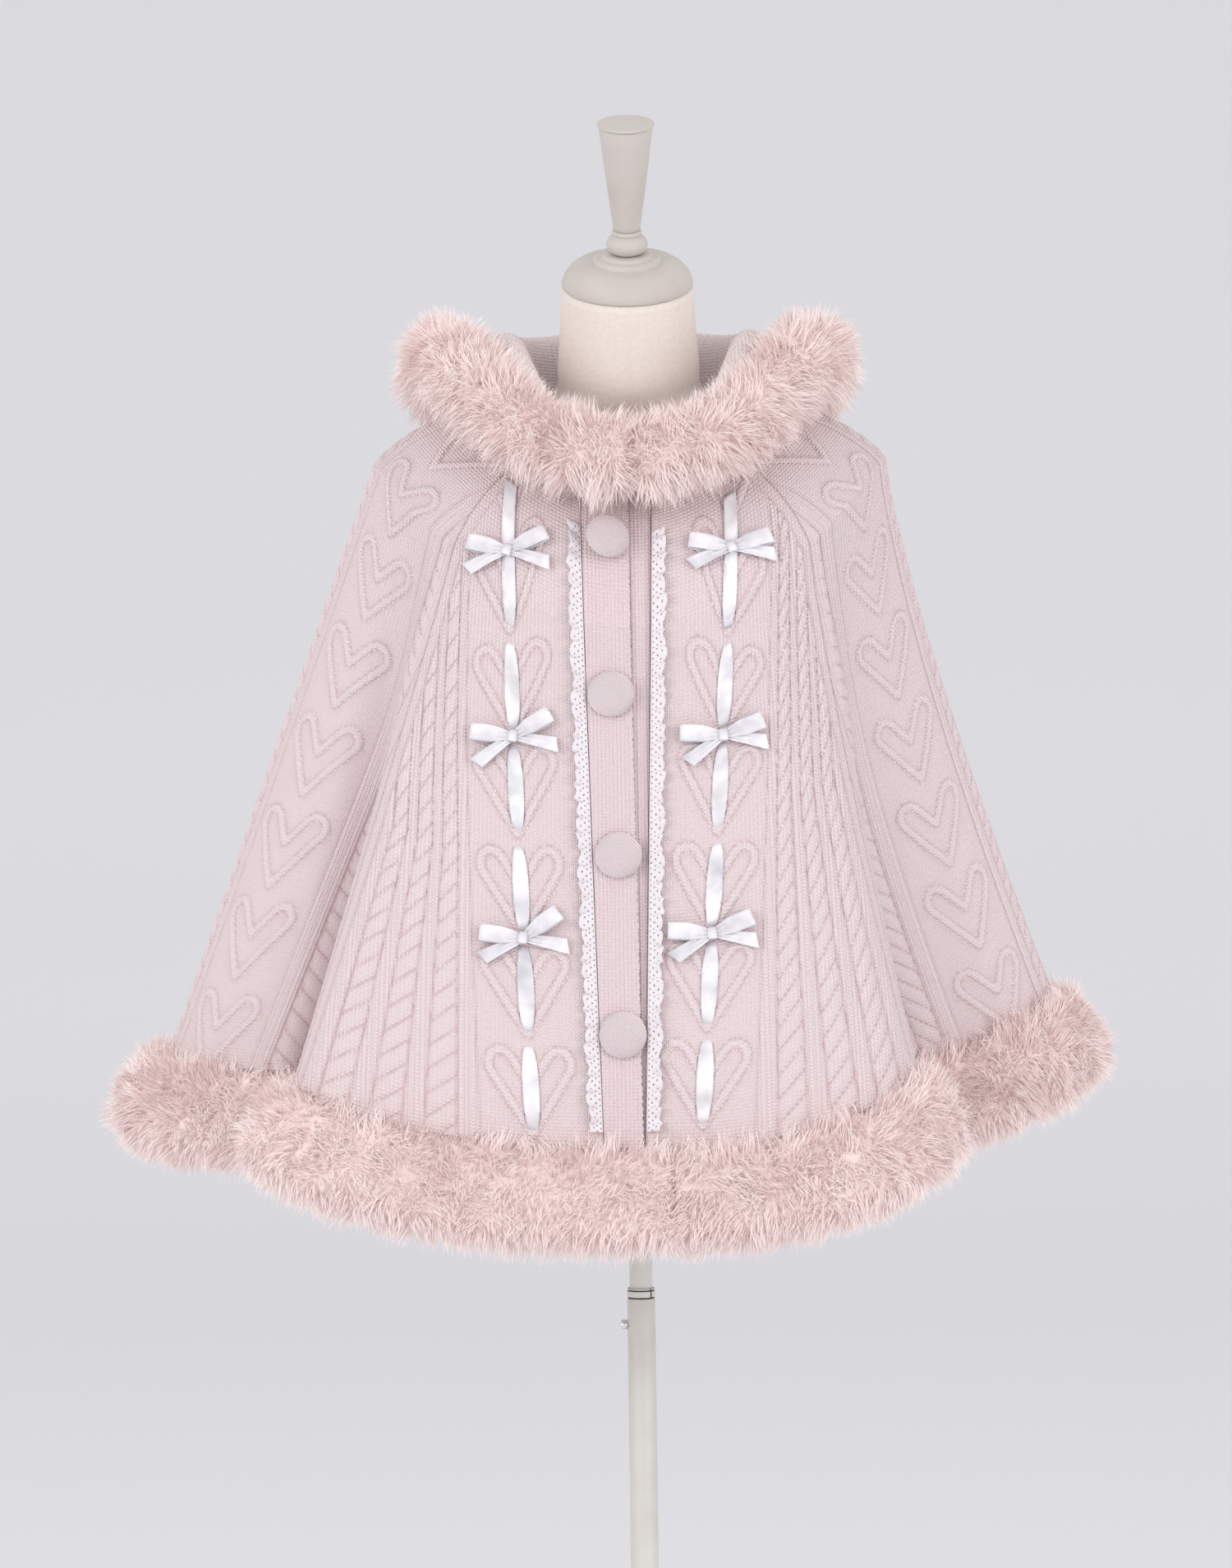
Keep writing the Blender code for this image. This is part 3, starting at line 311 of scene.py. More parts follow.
# %% Knit
STITCH_WIDTH = 0.0034
STITCH_HEIGHT = 0.0026
KNIT_DEPTH = 0.0009
FUZZ_SCALE = 900.0
GROOVE = 0.0010
STROKE = 0.075
RIB_LINE = 0.0028


def thin_line(away, width):
    """1 on a line and 0 beyond its width, from the distance to it."""
    share = away * (1 / width)
    return (share * share * -1.0).to("EXPONENT")


def knit_material(name, shade, light, high):
    made, tree, shader = blank_material(name, light, 0.92, Sheen_Weight=0.12, Sheen_Roughness=0.6,
                                        Specular_IOR_Level=0.15)
    place = cloth_place(tree)
    across, down, _ = split(tree, place)
    edge, valley, twist, cable, rib, tone = [mark_signal(tree, word) for word in
                                             ("edge", "valley", "twist", "cable", "rib", "tone")]
    aside = ((across / STITCH_WIDTH).to("FRACT") - 0.5).to("ABSOLUTE")
    leaning = ((down / STITCH_HEIGHT - aside) * FULL_TURN).to("SINE").scaled(0.5, 0.5)
    stitch = leaning ** 0.7 * aside.waved(1) ** 0.5
    groove = thin_line(edge, GROOVE).to("MAXIMUM", thin_line(valley, GROOVE * 1.3))
    stroke = thin_line((twist + 50.5).to("FRACT") - 0.5, STROKE) * cable
    line = groove.to("MAXIMUM", stroke)
    lined = across.waved(RIB_LINE) * rib
    height = lined.scaled(0.30, noise(tree, place, FUZZ_SCALE, 3.0).scaled(0.35, stitch))
    bump(tree, shader, line.scaled(-1.0, height), KNIT_DEPTH)
    # The colour is mostly painted shade: the tone mark darkens the relief's hollows, and the groove and
    # stroke lines darken the grooves, the fold valley and the cable crossings.
    mixed = line.scaled(-0.12, lined.scaled(0.05, stitch.scaled(0.16, tone * 0.84)))
    colour_by(tree, shader, mixed, (0.0, shade), (0.50, light), (1.0, high))
    return made


PINK_KNIT = knit_material("Pink Acrylic Knit", "D6B0B3", "F3E2E4", "F9EEF0")
PINK_RIB = knit_material("Pink Ribbed Knit", "DDB9BC", "F2E0E3", "F7EBEE")
# The hood's knit is a lighter copy of the ribbed knit: painted light that lifts the shade on the hood's
# inside.
LIGHTER_PAINTED_HOOD_KNIT = knit_material("Pink Hood Knit Painted Lighter", "ECC9CB", "FBEBEC", "FEF5F6")

# %% [markdown]
# Fur is darker at the root, where its neighbours shade it; a faint glow stands for the light that passes
# from hair to hair. Satin turns from white to grey as it bends to the light: slow patches of painted shade
# and painted highlight stand for it. The twill's diagonals are drawn wide enough to show.

# %% Fur, satin, lace and twill
GLOW_COLOUR = "F0CDC6"
GLOW = 0.07
SATIN_THREAD = 0.0008
SATIN_SHADE_PATCHES = 42.0
LACE_THREADS = 1400.0
TWILL_STEP = 0.0024


def fur_material():
    made, tree, shader = blank_material("Pink Faux Fur", "EFE1DF", 0.85, Sheen_Weight=0.5,
                                        Sheen_Roughness=0.5, Specular_IOR_Level=0.2,
                                        Emission_Color=linear(GLOW_COLOUR), Emission_Strength=GLOW)
    colour_by(tree, shader, mark_signal(tree, "tone"), (0.0, "E9D5D2"), (0.45, "EFE1DF"), (1.0, "F7EFED"))
    return made


def satin_material():
    made, tree, shader = blank_material("White Polyester Satin", "DFDCE0", 0.40, Sheen_Weight=0.1,
                                        Anisotropic=0.4, Specular_IOR_Level=0.4)
    place = cloth_place(tree)
    bump(tree, shader, split(tree, place)[1].waved(SATIN_THREAD), 0.00004, 0.5)
    # Painted shade and painted highlight: slow grey and white patches stand for the light on the bending
    # satin.
    colour_by(tree, shader, noise(tree, place, SATIN_SHADE_PATCHES),
              (0.30, "C6C5CC"), (0.48, "DEDCE1"), (0.66, "F2F0F4"))
    return made


def lace_material():
    made, tree, shader = blank_material("White Cotton Lace", "E6E1E5", 0.9, Sheen_Weight=0.2)
    bump(tree, shader, noise(tree, cloth_place(tree), LACE_THREADS), 0.0003)
    return made


def twill_material():
    made, tree, shader = blank_material("Pink Cotton Twill", "EFDEE3", 0.85, Sheen_Weight=0.2)
    x, _, z = split(tree, object_place(tree))
    line = (x + z).waved(TWILL_STEP)
    bump(tree, shader, line, 0.00045)
    colour_by(tree, shader, line.scaled(0.5, 0.5), (0.0, "DCCACD"), (0.7, "F1E5E8"))
    return made


PINK_FUR = fur_material()
WHITE_SATIN = satin_material()
WHITE_LACE = lace_material()
PINK_TWILL = twill_material()

# %% [markdown]
# The form is covered in slubbed linen. Cap, finial and stand are painted cream, satin finish.

# %% Linen, paint and zinc
THREAD = 0.0011
SLUB_SCALE = 260.0


def linen_material():
    made, tree, shader = blank_material("Cream Linen", "E6DCD3", 0.9, Sheen_Weight=0.15)
    place = object_place(tree)
    x, _, z = split(tree, place)
    slub = noise(tree, place, SLUB_SCALE, 4.0)
    bump(tree, shader, (x.waved(THREAD) * z.waved(THREAD)).scaled(0.3, slub), 0.00010)
    colour_by(tree, shader, slub, (0.30, "E2D8D0"), (0.65, "E8DFD8"))
    return made


def paint_material(name, colour, worn, roughness):
    made, tree, shader = blank_material(name, colour, roughness, Specular_IOR_Level=0.4)
    stain = noise(tree, object_place(tree), 30.0, 6.0)
    colour_by(tree, shader, stain, (0.30, worn), (0.55, colour))
    bump(tree, shader, stain, 0.00008)
    return made


CREAM_LINEN = linen_material()
CREAM_WOOD = paint_material("Cream Painted Wood", "C6C1BB", "C0BAB2", 0.55)
CREAM_METAL = paint_material("Cream Powder Coat", "D2D1CB", "CCC9C3", 0.4)
ZINC = blank_material("Zinc Plated Steel", "E4E4E6", 0.3, Metallic=1.0)[0]
# A dark look for painted shade in gaps, slits and holes.
PAINTED_RECESS_SHADE = blank_material("Painted Recess Shade", "2A2A2C", 0.6)[0]
print("materials:", len(bpy.data.materials))

# %% [markdown]
# ## The cape's surface
#
# At 24 fold stations round the neck a table in millimetres says where the knit's lower edge hangs. A point
# on the cloth is a place round the neck and a share of the way down: over the shoulder on a quarter turn,
# then falling to the hem.

# %% Fold tables
RING_NAMES = ("x", "y", "z", "fur_out", "fur_in")
RIGHT_FOLDS = (
    (0, 0, -205, 754, 34, 18),
    (16, 85, -204, 757, 34, 18),
    (31, 168, -188, 778, 34, 18),
    (43, 214, -146, 806, 30, 12),
    (54, 188, -86, 808, 7, 7),
    (66, 248, -56, 816, 26, 12),
    (78, 303, -32, 836, 32, 18),
    (90, 335, 20, 856, 30, 18),
    (104, 312, 78, 840, 30, 18),
    (122, 236, 94, 812, 18, 12),
    (136, 198, 138, 790, 26, 12),
    (158, 105, 180, 772, 30, 18),
    (180, 0, 178, 766, 30, 18),
)
LEFT_FOLDS = (
    (16, 88, -205, 757, 34, 18),
    (31, 192, -194, 775, 36, 18),
    (43, 264, -158, 803, 30, 12),
    (54, 230, -76, 806, 7, 7),
    (66, 284, -92, 808, 14, 12),
    (78, 346, -62, 812, 34, 18),
    (90, 374, 0, 820, 34, 18),
    (104, 342, 66, 812, 32, 18),
    (122, 252, 86, 798, 18, 12),
    (136, 208, 136, 785, 26, 12),
    (158, 108, 180, 772, 30, 18),
)
MIRROR_LEFT = np.array((-1, -1, 1, 1, 1, 1))
STATIONS = 24
RAGLAN = 3.0
BACK_SEAM = 10.0
SLEEVE_RIDGE = 7.0
RIGHT_BOW = 1.25
LEFT_BOW = 1.0
SHOULDER_T = 0.22
NECK_HALF_WIDTH = 0.081
NECK_Y = 0.001
NECK_FRONT_DIP = 0.004
NECK_FRONT_Z, NECK_FRONT_RISE = 1.262, 0.083
NECK_SIDE_Z, NECK_BACK_RISE = 1.345, 0.002
SHOULDER_HALF_WIDTH = 0.204
SHOULDER_HALF_DEPTH = 0.129
SHOULDER_FRONT_DIP = 0.006
SHOULDER_FRONT_Z = 1.150
SHOULDER_BACK_Z = 1.215
SHOULDER_SIDE_Z = 1.288
FRONT_LENGTH = 0.518
SLEEVE_LENGTH = 0.630
BACK_LENGTH = 0.600
WALL = 0.0028
GAP = 0.0003
TURNS, *RING_ROWS = np.concatenate((RIGHT_FOLDS, LEFT_FOLDS[::-1] * MIRROR_LEFT + (360, 0, 0, 0, 0, 0))).T
RINGS = {name: row / 1000 for name, row in zip(RING_NAMES, RING_ROWS)}
LEAD = np.concatenate((TURNS - 360, TURNS, TURNS + 360))


def spline(values, where, closed=True):
    """A smooth curve through evenly numbered values, read at any place."""
    values, where = np.asarray(values, float), np.asarray(where, float)
    count = len(values)
    low = np.floor(where).astype(int)
    if not closed:
        low = np.clip(low, 0, count - 2)
    part = where - low
    picks = [low + shift for shift in (-1, 0, 1, 2)]
    a, b, c, d = (values[p % count if closed else np.clip(p, 0, count - 1)] for p in picks)
    return 0.5 * (2 * b + (c - a) * part + (2 * a - 5 * b + 4 * c - d) * part ** 2
                  + (3 * b - a - 3 * c + d) * part ** 3)


def between(values, t):
    """Values given at even steps of t from 0 to 1, read in between."""
    return np.interp(t, np.linspace(0, 1, len(values)), values)


def unit(vectors):
    return vectors / np.linalg.norm(vectors, axis=-1, keepdims=True)


def neck_height(angle):
    """The height of the neck seam, lowest at the front."""
    rise = np.sin(angle) ** 2
    return np.where(np.cos(angle) > 0, NECK_FRONT_Z + NECK_FRONT_RISE * rise,
                    NECK_SIDE_Z + NECK_BACK_RISE * (1 - rise))


# %% The cape's points and directions
def cape_point(place, t):
    """The cloth's outer surface: place counts stations round, t runs neck to hem."""
    place, t = np.asarray(place, float), np.asarray(t, float)
    angle = np.radians(spline(LEAD, place % STATIONS + STATIONS, closed=False))
    sine, cosine = np.sin(angle), np.cos(angle)
    front = np.clip(cosine, 0, 1)
    neck = (NECK_HALF_WIDTH * sine, NECK_Y - NECK_HALF_WIDTH * cosine - NECK_FRONT_DIP * front,
            neck_height(angle))
    low_z = np.where(cosine > 0, SHOULDER_FRONT_Z, SHOULDER_BACK_Z)
    shoulder = (SHOULDER_HALF_WIDTH * sine, -SHOULDER_HALF_DEPTH * cosine - SHOULDER_FRONT_DIP * front,
                low_z + (SHOULDER_SIDE_Z - low_z) * sine ** 2)
    hem = [spline(RINGS[axis], place % STATIONS) for axis in ("x", "y", "z")]
    yoke = np.clip(t / SHOULDER_T, 0, 1)
    out = 0.5 * yoke + 0.5 * np.sin(yoke * math.pi / 2)
    down = 0.5 * yoke + 0.5 * (1 - np.cos(yoke * math.pi / 2))
    fall = np.clip((t - SHOULDER_T) / (1 - SHOULDER_T), 0, 1)
    bowed = fall ** (LEFT_BOW + (RIGHT_BOW - LEFT_BOW) * (0.5 + 0.5 * sine))
    point = [top + (mid - top) * ease + (low - mid) * drop for top, mid, low, ease, drop
             in zip(neck, shoulder, hem, (out, out, down), (bowed, bowed, fall))]
    return np.stack(np.broadcast_arrays(*point), axis=-1)


def cape_frame(place, t):
    """The point, outward normal and downward direction of the cloth."""
    step = 0.004
    place, t = np.broadcast_arrays(np.asarray(place, float), np.asarray(t, float))
    along = cape_point(place + step, t) - cape_point(place - step, t)
    down = cape_point(place, np.clip(t + step, 0, 1)) - cape_point(place, np.clip(t - step, 0, 1))
    return cape_point(place, t), unit(-np.cross(along, down)), unit(down)


RUN_STEP = 0.02
RUN_REACH = 9.0


def run_lengths(origin, t):
    """Distances round the ring from an origin station, one row for each height."""
    places = origin + np.arange(-RUN_REACH, RUN_REACH + RUN_STEP, RUN_STEP)
    t = np.atleast_1d(t)
    steps = np.linalg.norm(np.diff(cape_point(places[None, :], t[:, None]), axis=1), axis=2)
    length = np.concatenate((np.zeros((len(t), 1)), np.cumsum(steps, axis=1)), axis=1)
    return places, length - at_station(origin, places, length)[:, None]


def at_station(station, places, lengths):
    """The distance of a station in every row."""
    return np.array([np.interp(station, places, row) for row in lengths])


def on_cloth(distance, t, length, places, lengths):
    """The heights, map, points, normals and downward ways of a grid of distances."""
    place = np.array([np.interp(row, run, places) for row, run in zip(distance, lengths)])
    height = np.repeat(t[:, None], distance.shape[1], axis=1)
    return height, np.stack((distance, height * length), axis=-1), *cape_frame(place, height)


print("cape hem spans", np.round(np.ptp(RINGS["x"]), 3), "m")

# %% [markdown]
# ## Knit relief
#
# Hearts, flat ribs and cables stand out by 1 to 3 mm. Each is a height over the cloth, from the distance
# across the panel and the length down it. A heart is a raised rope: from its tip up the outer V, round the
# lobe and into the inner V.

# %% Motif heights
HEART_PITCH = 0.0766
HEART_PATH = ((0.0, -0.0030), (0.0312, -0.0500), (0.0318, -0.0560), (0.0290, -0.0615), (0.0245, -0.0642),
              (0.0195, -0.0640), (0.0150, -0.0605), (0.0, -0.0385))
HEART_ROPE = 0.0035
HEART_RAISE = 0.0017
HEART_SHOULDER = 0.0020
RIB_RAISE = 0.0011
RIB_SHOULDER = 0.0018
CABLE_RAISE = 0.0028
CABLE_PITCH = 0.0172
CABLE_SLANT = 1.05
RIB_SHARE = 0.94
CABLE_SHARE = 1.40
RIB_UNIT = 0.0125
GROUND_DEPTH = 0.0006


def soft_step(inside, shoulder):
    return np.clip(inside / shoulder, 0, 1) ** 0.6


def heart_relief(across, down, first_tip, pitch):
    """The height of a stack of hearts, tips down, and how far inside their rope each place is."""
    across = np.abs(across)
    best = np.full(across.shape, 1.0)
    local = (down - first_tip) % pitch - pitch
    for shift in (0.0, pitch):
        for (ax, ay), (bx, by) in zip(HEART_PATH, HEART_PATH[1:]):
            wide, tall = bx - ax, by - ay
            x, y = across - ax, local + shift - ay
            part = np.clip((x * wide + y * tall) / math.hypot(wide, tall) ** 2, 0, 1)
            best = np.minimum(best, np.hypot(x - part * wide, y - part * tall))
    inside = HEART_ROPE - best
    return HEART_RAISE * soft_step(inside, HEART_SHOULDER), inside


def group_relief(part, down, cables, lean):
    """Flat ribs with cables between them, and their marks; part runs from 0 to 1 across the group."""
    total = RIB_SHARE + cables * (CABLE_SHARE + RIB_SHARE)
    where = part * total
    place = where % (RIB_SHARE + CABLE_SHARE)
    inside = (where > 0) & (where < total)
    is_rib = place < RIB_SHARE
    edge = np.where(is_rib, np.minimum(place, RIB_SHARE - place),
                    -np.minimum(place - RIB_SHARE, RIB_SHARE + CABLE_SHARE - place))
    edge = np.where(where < 0, where, np.where(where > total, total - where, edge)) * RIB_UNIT
    cable = np.where(place < RIB_SHARE / 2, 0.5 + place / CABLE_SHARE,
                     (place - RIB_SHARE) / CABLE_SHARE - 0.5)
    twist = down / CABLE_PITCH + lean * cable * CABLE_SLANT
    dome = np.sqrt(np.clip(1 - (cable / 0.48) ** 2, 0, 1))
    cable_height = CABLE_RAISE * dome * (0.45 + 0.55 * np.abs(np.sin(math.pi * twist)) ** 0.6)
    rib_height = RIB_RAISE * soft_step(edge, RIB_SHOULDER)
    height = np.where(is_rib, rib_height, cable_height) - GROUND_DEPTH * (edge < 0)
    marks = {"edge": edge, "twist": twist, "cable": (inside & ~is_rib) * 1.0, "rib": (inside & is_rib) * 1.0}
    return np.where(inside, height, 0.0), marks


print("heart pitch", HEART_PITCH, "m, cable pitch", CABLE_PITCH, "m")

# %% [markdown]
# ## Knit panels
#
# A panel is a grid between two seams. Its relief is read from the real distance, so a motif keeps its size
# while the panel flares.

# %% Panel builder
GRID_STEP = 0.0024
WIDE_STEP = 0.0029
INNER_STEP = 0.012
SEAM_HALF = 0.0002
SEAM_DIP = 0.0011
SEAM_WIDTH = 0.0016
HOLLOW_SCALE = 0.0064
BAND_PLAIN = 0.0080
BAND_FADE = 0.004


def knit_panel(name, origin, edges, length, relief, step):
    """A knit panel as a closed wall between two edges, which give distances."""
    rows = int(length / step) + 1
    t = np.linspace(0, 1, rows)
    runs = run_lengths(origin, t)
    low, high = (edge(t, *runs)[:, None] for edge in edges)
    width = float(np.max(high - low))
    columns = int(width / step) + 1
    distance = low + (high - low) * np.linspace(0, 1, columns)[None, :]
    height, uv, point, normal, _ = on_cloth(distance, t, length, *runs)
    raised, marks = relief(distance, height * length, height, low, high)
    edge = np.minimum(distance - low, high - distance)
    raised = raised * np.clip((edge - BAND_PLAIN / 2) / BAND_FADE, 0, 1)
    seam = SEAM_DIP * np.exp(-(edge / SEAM_WIDTH) ** 2)
    for mark in ("cable", "rib"):
        marks[mark] = marks[mark] * (edge > BAND_PLAIN)
    # The tone mark is painted shade in the relief's hollows.
    marks["tone"] = painted_hollow_shade(raised, HOLLOW_SCALE)
    coarse = np.ix_(even_picks(rows, int(length / INNER_STEP)),
                    even_picks(columns, max(2, int(columns * step / INNER_STEP))))
    piece = cloth_wall(name + "_knit", point + normal * (raised - seam)[..., None],
                       point[coarse] - normal[coarse] * WALL, PINK_KNIT, uv, marks)
    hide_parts(name)
    print(name, "width", round(width, 3), "m")


def seam_edge(station, shift):
    """A panel's edge along a station, moved a little to one side."""
    return lambda t, places, lengths: at_station(station, places, lengths) + shift


# %% [markdown]
# The fronts: a stack of hearts beside the opening, then ribs and cables that fan out to the raglan seam.

# %% Fronts
OVER_RIGHT_EDGE = (-0.0040, 0.0020)
OVER_LEFT_EDGE = (-0.0410, -0.0270)
UNDER_LEFT_EDGE = (-0.0240, -0.0200)
UNDER_RIGHT_EDGE = (0.0165, 0.0040)
RIBBON_LINES = {1: (0.0900, 0.0725, 0.0576, 0.0460), -1: (0.1110, 0.0980, 0.0880, 0.0800)}
FRONT_TIPS = {1: 0.1385, -1: 0.1450}
FRONT_NAMES = {1: "front_right", -1: "front_left"}
FRONT_PITCH = 0.0732
LACE_REACH = 0.0230
RIBBON_REACH = 0.0065
TIP_REACH = 0.0055
EDGE_FADE = 0.002
OFF_PANEL = -0.004
GROUP_GAP = 0.0405
GROUP_WIDTH = 0.100
GROUP_FLARE = 0.026
RAGLAN_BAND = 0.0100
RING_SLOPE = (0.85, 0.62, 0.34, 0.19, 0.10, 0.05)


def front_panel(side):
    """The right (1) or left (-1) front, with distances measured away from the middle."""
    tip = FRONT_TIPS[side]
    opening = UNDER_RIGHT_EDGE if side > 0 else [-edge for edge in OVER_LEFT_EDGE]
    edges = [lambda t, places, lengths: side * (between(opening, t) + GAP),
             seam_edge(side * RAGLAN, -side * SEAM_HALF)]

    def relief(distance, down, t, low, high):
        away = side * distance
        band_edge = side * (high if side > 0 else low) - RAGLAN_BAND
        centre = between(RIBBON_LINES[side], t)
        start = centre + GROUP_GAP
        stop = np.maximum(centre + GROUP_WIDTH + GROUP_FLARE * t, band_edge - 0.001)
        group, marks = group_relief((away - start) / (stop - start), down, 3, side)
        level = down - between(RING_SLOPE, t) * (away - centre)
        hearts, rope = heart_relief(away - centre, level, tip, FRONT_PITCH)
        near_tip = np.abs((down - tip + FRONT_PITCH / 2) % FRONT_PITCH - FRONT_PITCH / 2) < TIP_REACH
        flat = np.where(near_tip, 1.0, np.clip((np.abs(away - centre) - RIBBON_REACH) / EDGE_FADE, 0, 1))
        if side > 0:
            flat = flat * np.clip((away - LACE_REACH) / EDGE_FADE, 0, 1)
        marks["valley"] = band_edge - away
        panel = marks["valley"] > 0
        marks["edge"] = np.where(panel, np.maximum(marks["edge"], rope), OFF_PANEL)
        for mark in ("cable", "rib"):
            marks[mark] = marks[mark] * panel
        return (hearts * flat + group) * panel, marks

    knit_panel(FRONT_NAMES[side], 0.0, edges[::side], FRONT_LENGTH, relief, GRID_STEP)


front_panel(1)
front_panel(-1)

# %% [markdown]
# Sleeves and back: ribs and two cables down the middle, hearts to each side, and a narrower group beyond.

# %% Sleeves and back
SLEEVE_GROUP = 0.034
SLEEVE_HEARTS = 0.075
OUTER_GROUP = 0.119
OUTER_WIDTH = 0.053
WIDE_PANELS = (
    ("sleeve_right", SLEEVE_RIDGE, RAGLAN, BACK_SEAM, SLEEVE_LENGTH, 0.100, 1),
    ("sleeve_left", -SLEEVE_RIDGE, -BACK_SEAM, -RAGLAN, SLEEVE_LENGTH, 0.100, -1),
    ("back", STATIONS / 2, BACK_SEAM, STATIONS - BACK_SEAM, BACK_LENGTH, 0.140, 1),
)


def wide_panel(name, origin, low_station, high_station, length, first_tip, lean):
    def relief(distance, down, t, low, high):
        away = np.abs(distance)
        middle, marks = group_relief((distance + SLEEVE_GROUP) / (2 * SLEEVE_GROUP), down, 2, lean)
        outer, others = group_relief((away - OUTER_GROUP) / OUTER_WIDTH, down, 1, lean)
        hearts, rope = heart_relief(away - SLEEVE_HEARTS, down, first_tip, HEART_PITCH)
        for mark in marks:
            marks[mark] = np.where(away > SLEEVE_HEARTS, others[mark], marks[mark])
        marks["edge"] = np.maximum(marks["edge"], rope)
        return middle + outer + hearts, marks

    edges = seam_edge(low_station, SEAM_HALF), seam_edge(high_station, -SEAM_HALF)
    knit_panel(name, origin, edges, length, relief, WIDE_STEP)


for row in WIDE_PANELS:
    wide_panel(*row)

# %% [markdown]
# ## Hood
#
# The hood is a ribbed piece sewn round the neck, rolled over the shoulders and down into a pouch at the
# back. Seven rings in millimetres give its profile at centre front, at the side and at centre back.

# %% Hood surface
HOOD_ROWS = np.array((
    (-80.0, 1263.5, 79.0, 2, 1348.0, 77.5, 1350),
    (-83.5, 1266.5, 83.5, 6, 1378.0, 86.0, 1392),
    (-86.5, 1269.0, 93.0, 10, 1390.0, 104.0, 1400),
    (-89.0, 1271.0, 101.0, 14, 1390.5, 126.0, 1345),
    (-91.0, 1272.5, 106.0, 17, 1388.0, 145.0, 1205),
    (-93.0, 1274.0, 108.5, 19, 1386.5, 175.0, 1138),
    (-94.5, 1274.8, 110.5, 20, 1385.0, 220.0, 1180),
)) / 1000
HOOD_FUR_AXIS = (-0.1340, 1.2830, 0.1520, 0.0300, 1.3680, 0.2140, 1.3150)
HOOD_FUR_RADIUS = 0.0410
FRONT_FUR_THINNER = 0.005
HOOD_ENDS = (math.radians(3), math.radians(357))
HOOD_NECK = 0.0796
NECK_LIFT = 0.0012
FRONT_LIFT = 0.0016
HOOD_CLEARANCE = 0.0075
RIM_DEPTH = 0.006
SHOULDER_PLACES = (0, 27, 39, 51, 63, 75, 87, 100)
SHOULDER_LIFTS = (0, 0.0, 0.0028, 0.0098, 0.0133, 0.0093, 0.0028, 0)
RIM_PLACES = (0, 30, 60, 90, 110)
RIM_TURNS = (90, 70, 36, 4, -8)


def ringed(row, angle):
    """A point of a ring given at centre front, at the side and at centre back."""
    front_y, front_z, side_x, side_y, side_z, back_y, back_z = row
    front = max(0.0, math.cos(angle))
    back = max(0.0, -math.cos(angle))
    return np.array((side_x * math.sin(angle),
                     side_y + (front_y - side_y) * front + (back_y - side_y) * back,
                     side_z + (front_z - side_z) * front ** 2 + (back_z - side_z) * back ** 2))


def fur_radius(angle):
    return HOOD_FUR_RADIUS - FRONT_FUR_THINNER * max(0.0, math.cos(angle))


def fur_middle(angle):
    """The middle line of the hood's fur border, lifted clear of the shoulders."""
    from_front = 180 - abs(math.degrees(angle) - 180)
    return ringed(HOOD_FUR_AXIS, angle) + (0.0, 0.0, np.interp(from_front, SHOULDER_PLACES, SHOULDER_LIFTS))


def fur_axes(angle):
    """The middle of the hood's fur border, and its outward and upward directions."""
    ahead = fur_middle(angle + 0.01) - fur_middle(angle - 0.01)
    aside = unit(np.cross(ahead, (0.0, 0.0, 1.0)))
    return fur_middle(angle), aside, unit(np.cross(aside, ahead))


AXIS_ANGLES = np.linspace(*HOOD_ENDS, 121)
AXIS_POINTS = np.array([fur_middle(angle) for angle in AXIS_ANGLES])
AXIS_KEEP = np.array([fur_radius(angle) for angle in AXIS_ANGLES]) + HOOD_CLEARANCE


def hood_column(angle, steps):
    """The hood's profile at one angle round the neck, from the seam to the fur."""
    rows = np.array([ringed(row, angle) for row in HOOD_ROWS])
    front = max(0.0, math.cos(angle))
    rows[0] = (HOOD_NECK * math.sin(angle), NECK_Y - HOOD_NECK * math.cos(angle) - NECK_FRONT_DIP * front,
               neck_height(angle) + NECK_LIFT + FRONT_LIFT * front)
    points = np.stack([spline(rows[:, axis], steps, closed=False) for axis in range(3)], axis=-1)
    for number, point in enumerate(points):
        reach = np.linalg.norm(point - AXIS_POINTS, axis=1)
        worst = int(np.argmin(reach - AXIS_KEEP))
        if reach[worst] < AXIS_KEEP[worst]:
            away = (point - AXIS_POINTS[worst]) / reach[worst]
            points[number] = AXIS_POINTS[worst] + away * AXIS_KEEP[worst]
    middle, aside, up = fur_axes(angle)
    turn = math.radians(np.interp(abs(math.degrees(angle) - 180), RIM_PLACES, RIM_TURNS))
    rim = middle - (aside * math.cos(turn) + up * math.sin(turn)) * (fur_radius(angle) - RIM_DEPTH)
    return np.concatenate((points, points[-1:] * 0.5 + rim * 0.5, rim[None]))


# %% Hood piece
HOOD_COLUMNS = 300
HOOD_PROFILE = 52
RIB_PITCH_DEGREES = 4.2
HOOD_RIB = 0.0014
NECK_ROUND = 0.12
SOFTENING = 6


def hood_piece():
    angles = np.linspace(*HOOD_ENDS, HOOD_COLUMNS)
    steps = np.linspace(0, len(HOOD_ROWS) - 1, HOOD_PROFILE)
    grid = np.array([hood_column(float(angle), steps) for angle in angles]).transpose(1, 0, 2)
    for _ in range(SOFTENING):
        grid[2:-2] = (grid[1:-3] + 2 * grid[2:-2] + grid[3:-1]) / 4
    normal = unit(np.cross(np.gradient(grid, axis=1), np.gradient(grid, axis=0)))
    if np.mean(normal[0, :, :2] * grid[0, :, :2]) < 0:
        normal = -normal
    ribs = np.abs(np.cos(np.degrees(angles) / RIB_PITCH_DEGREES * math.pi))
    seen = grid - normal * (WALL / 2 + HOOD_RIB * ribs[None, :, None] ** 0.6)
    hidden = (grid + normal * (WALL / 2))[::2, ::3]
    length = np.concatenate((np.zeros((1, HOOD_COLUMNS)),
                             np.cumsum(np.linalg.norm(np.diff(grid, axis=0), axis=2), axis=0)))
    uv = np.stack((np.broadcast_to(angles * NECK_ROUND, length.shape), length), axis=-1)
    piece = cloth_wall("hood_knit", seen, hidden, LIGHTER_PAINTED_HOOD_KNIT, uv)
    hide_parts("hood")


hood_piece()
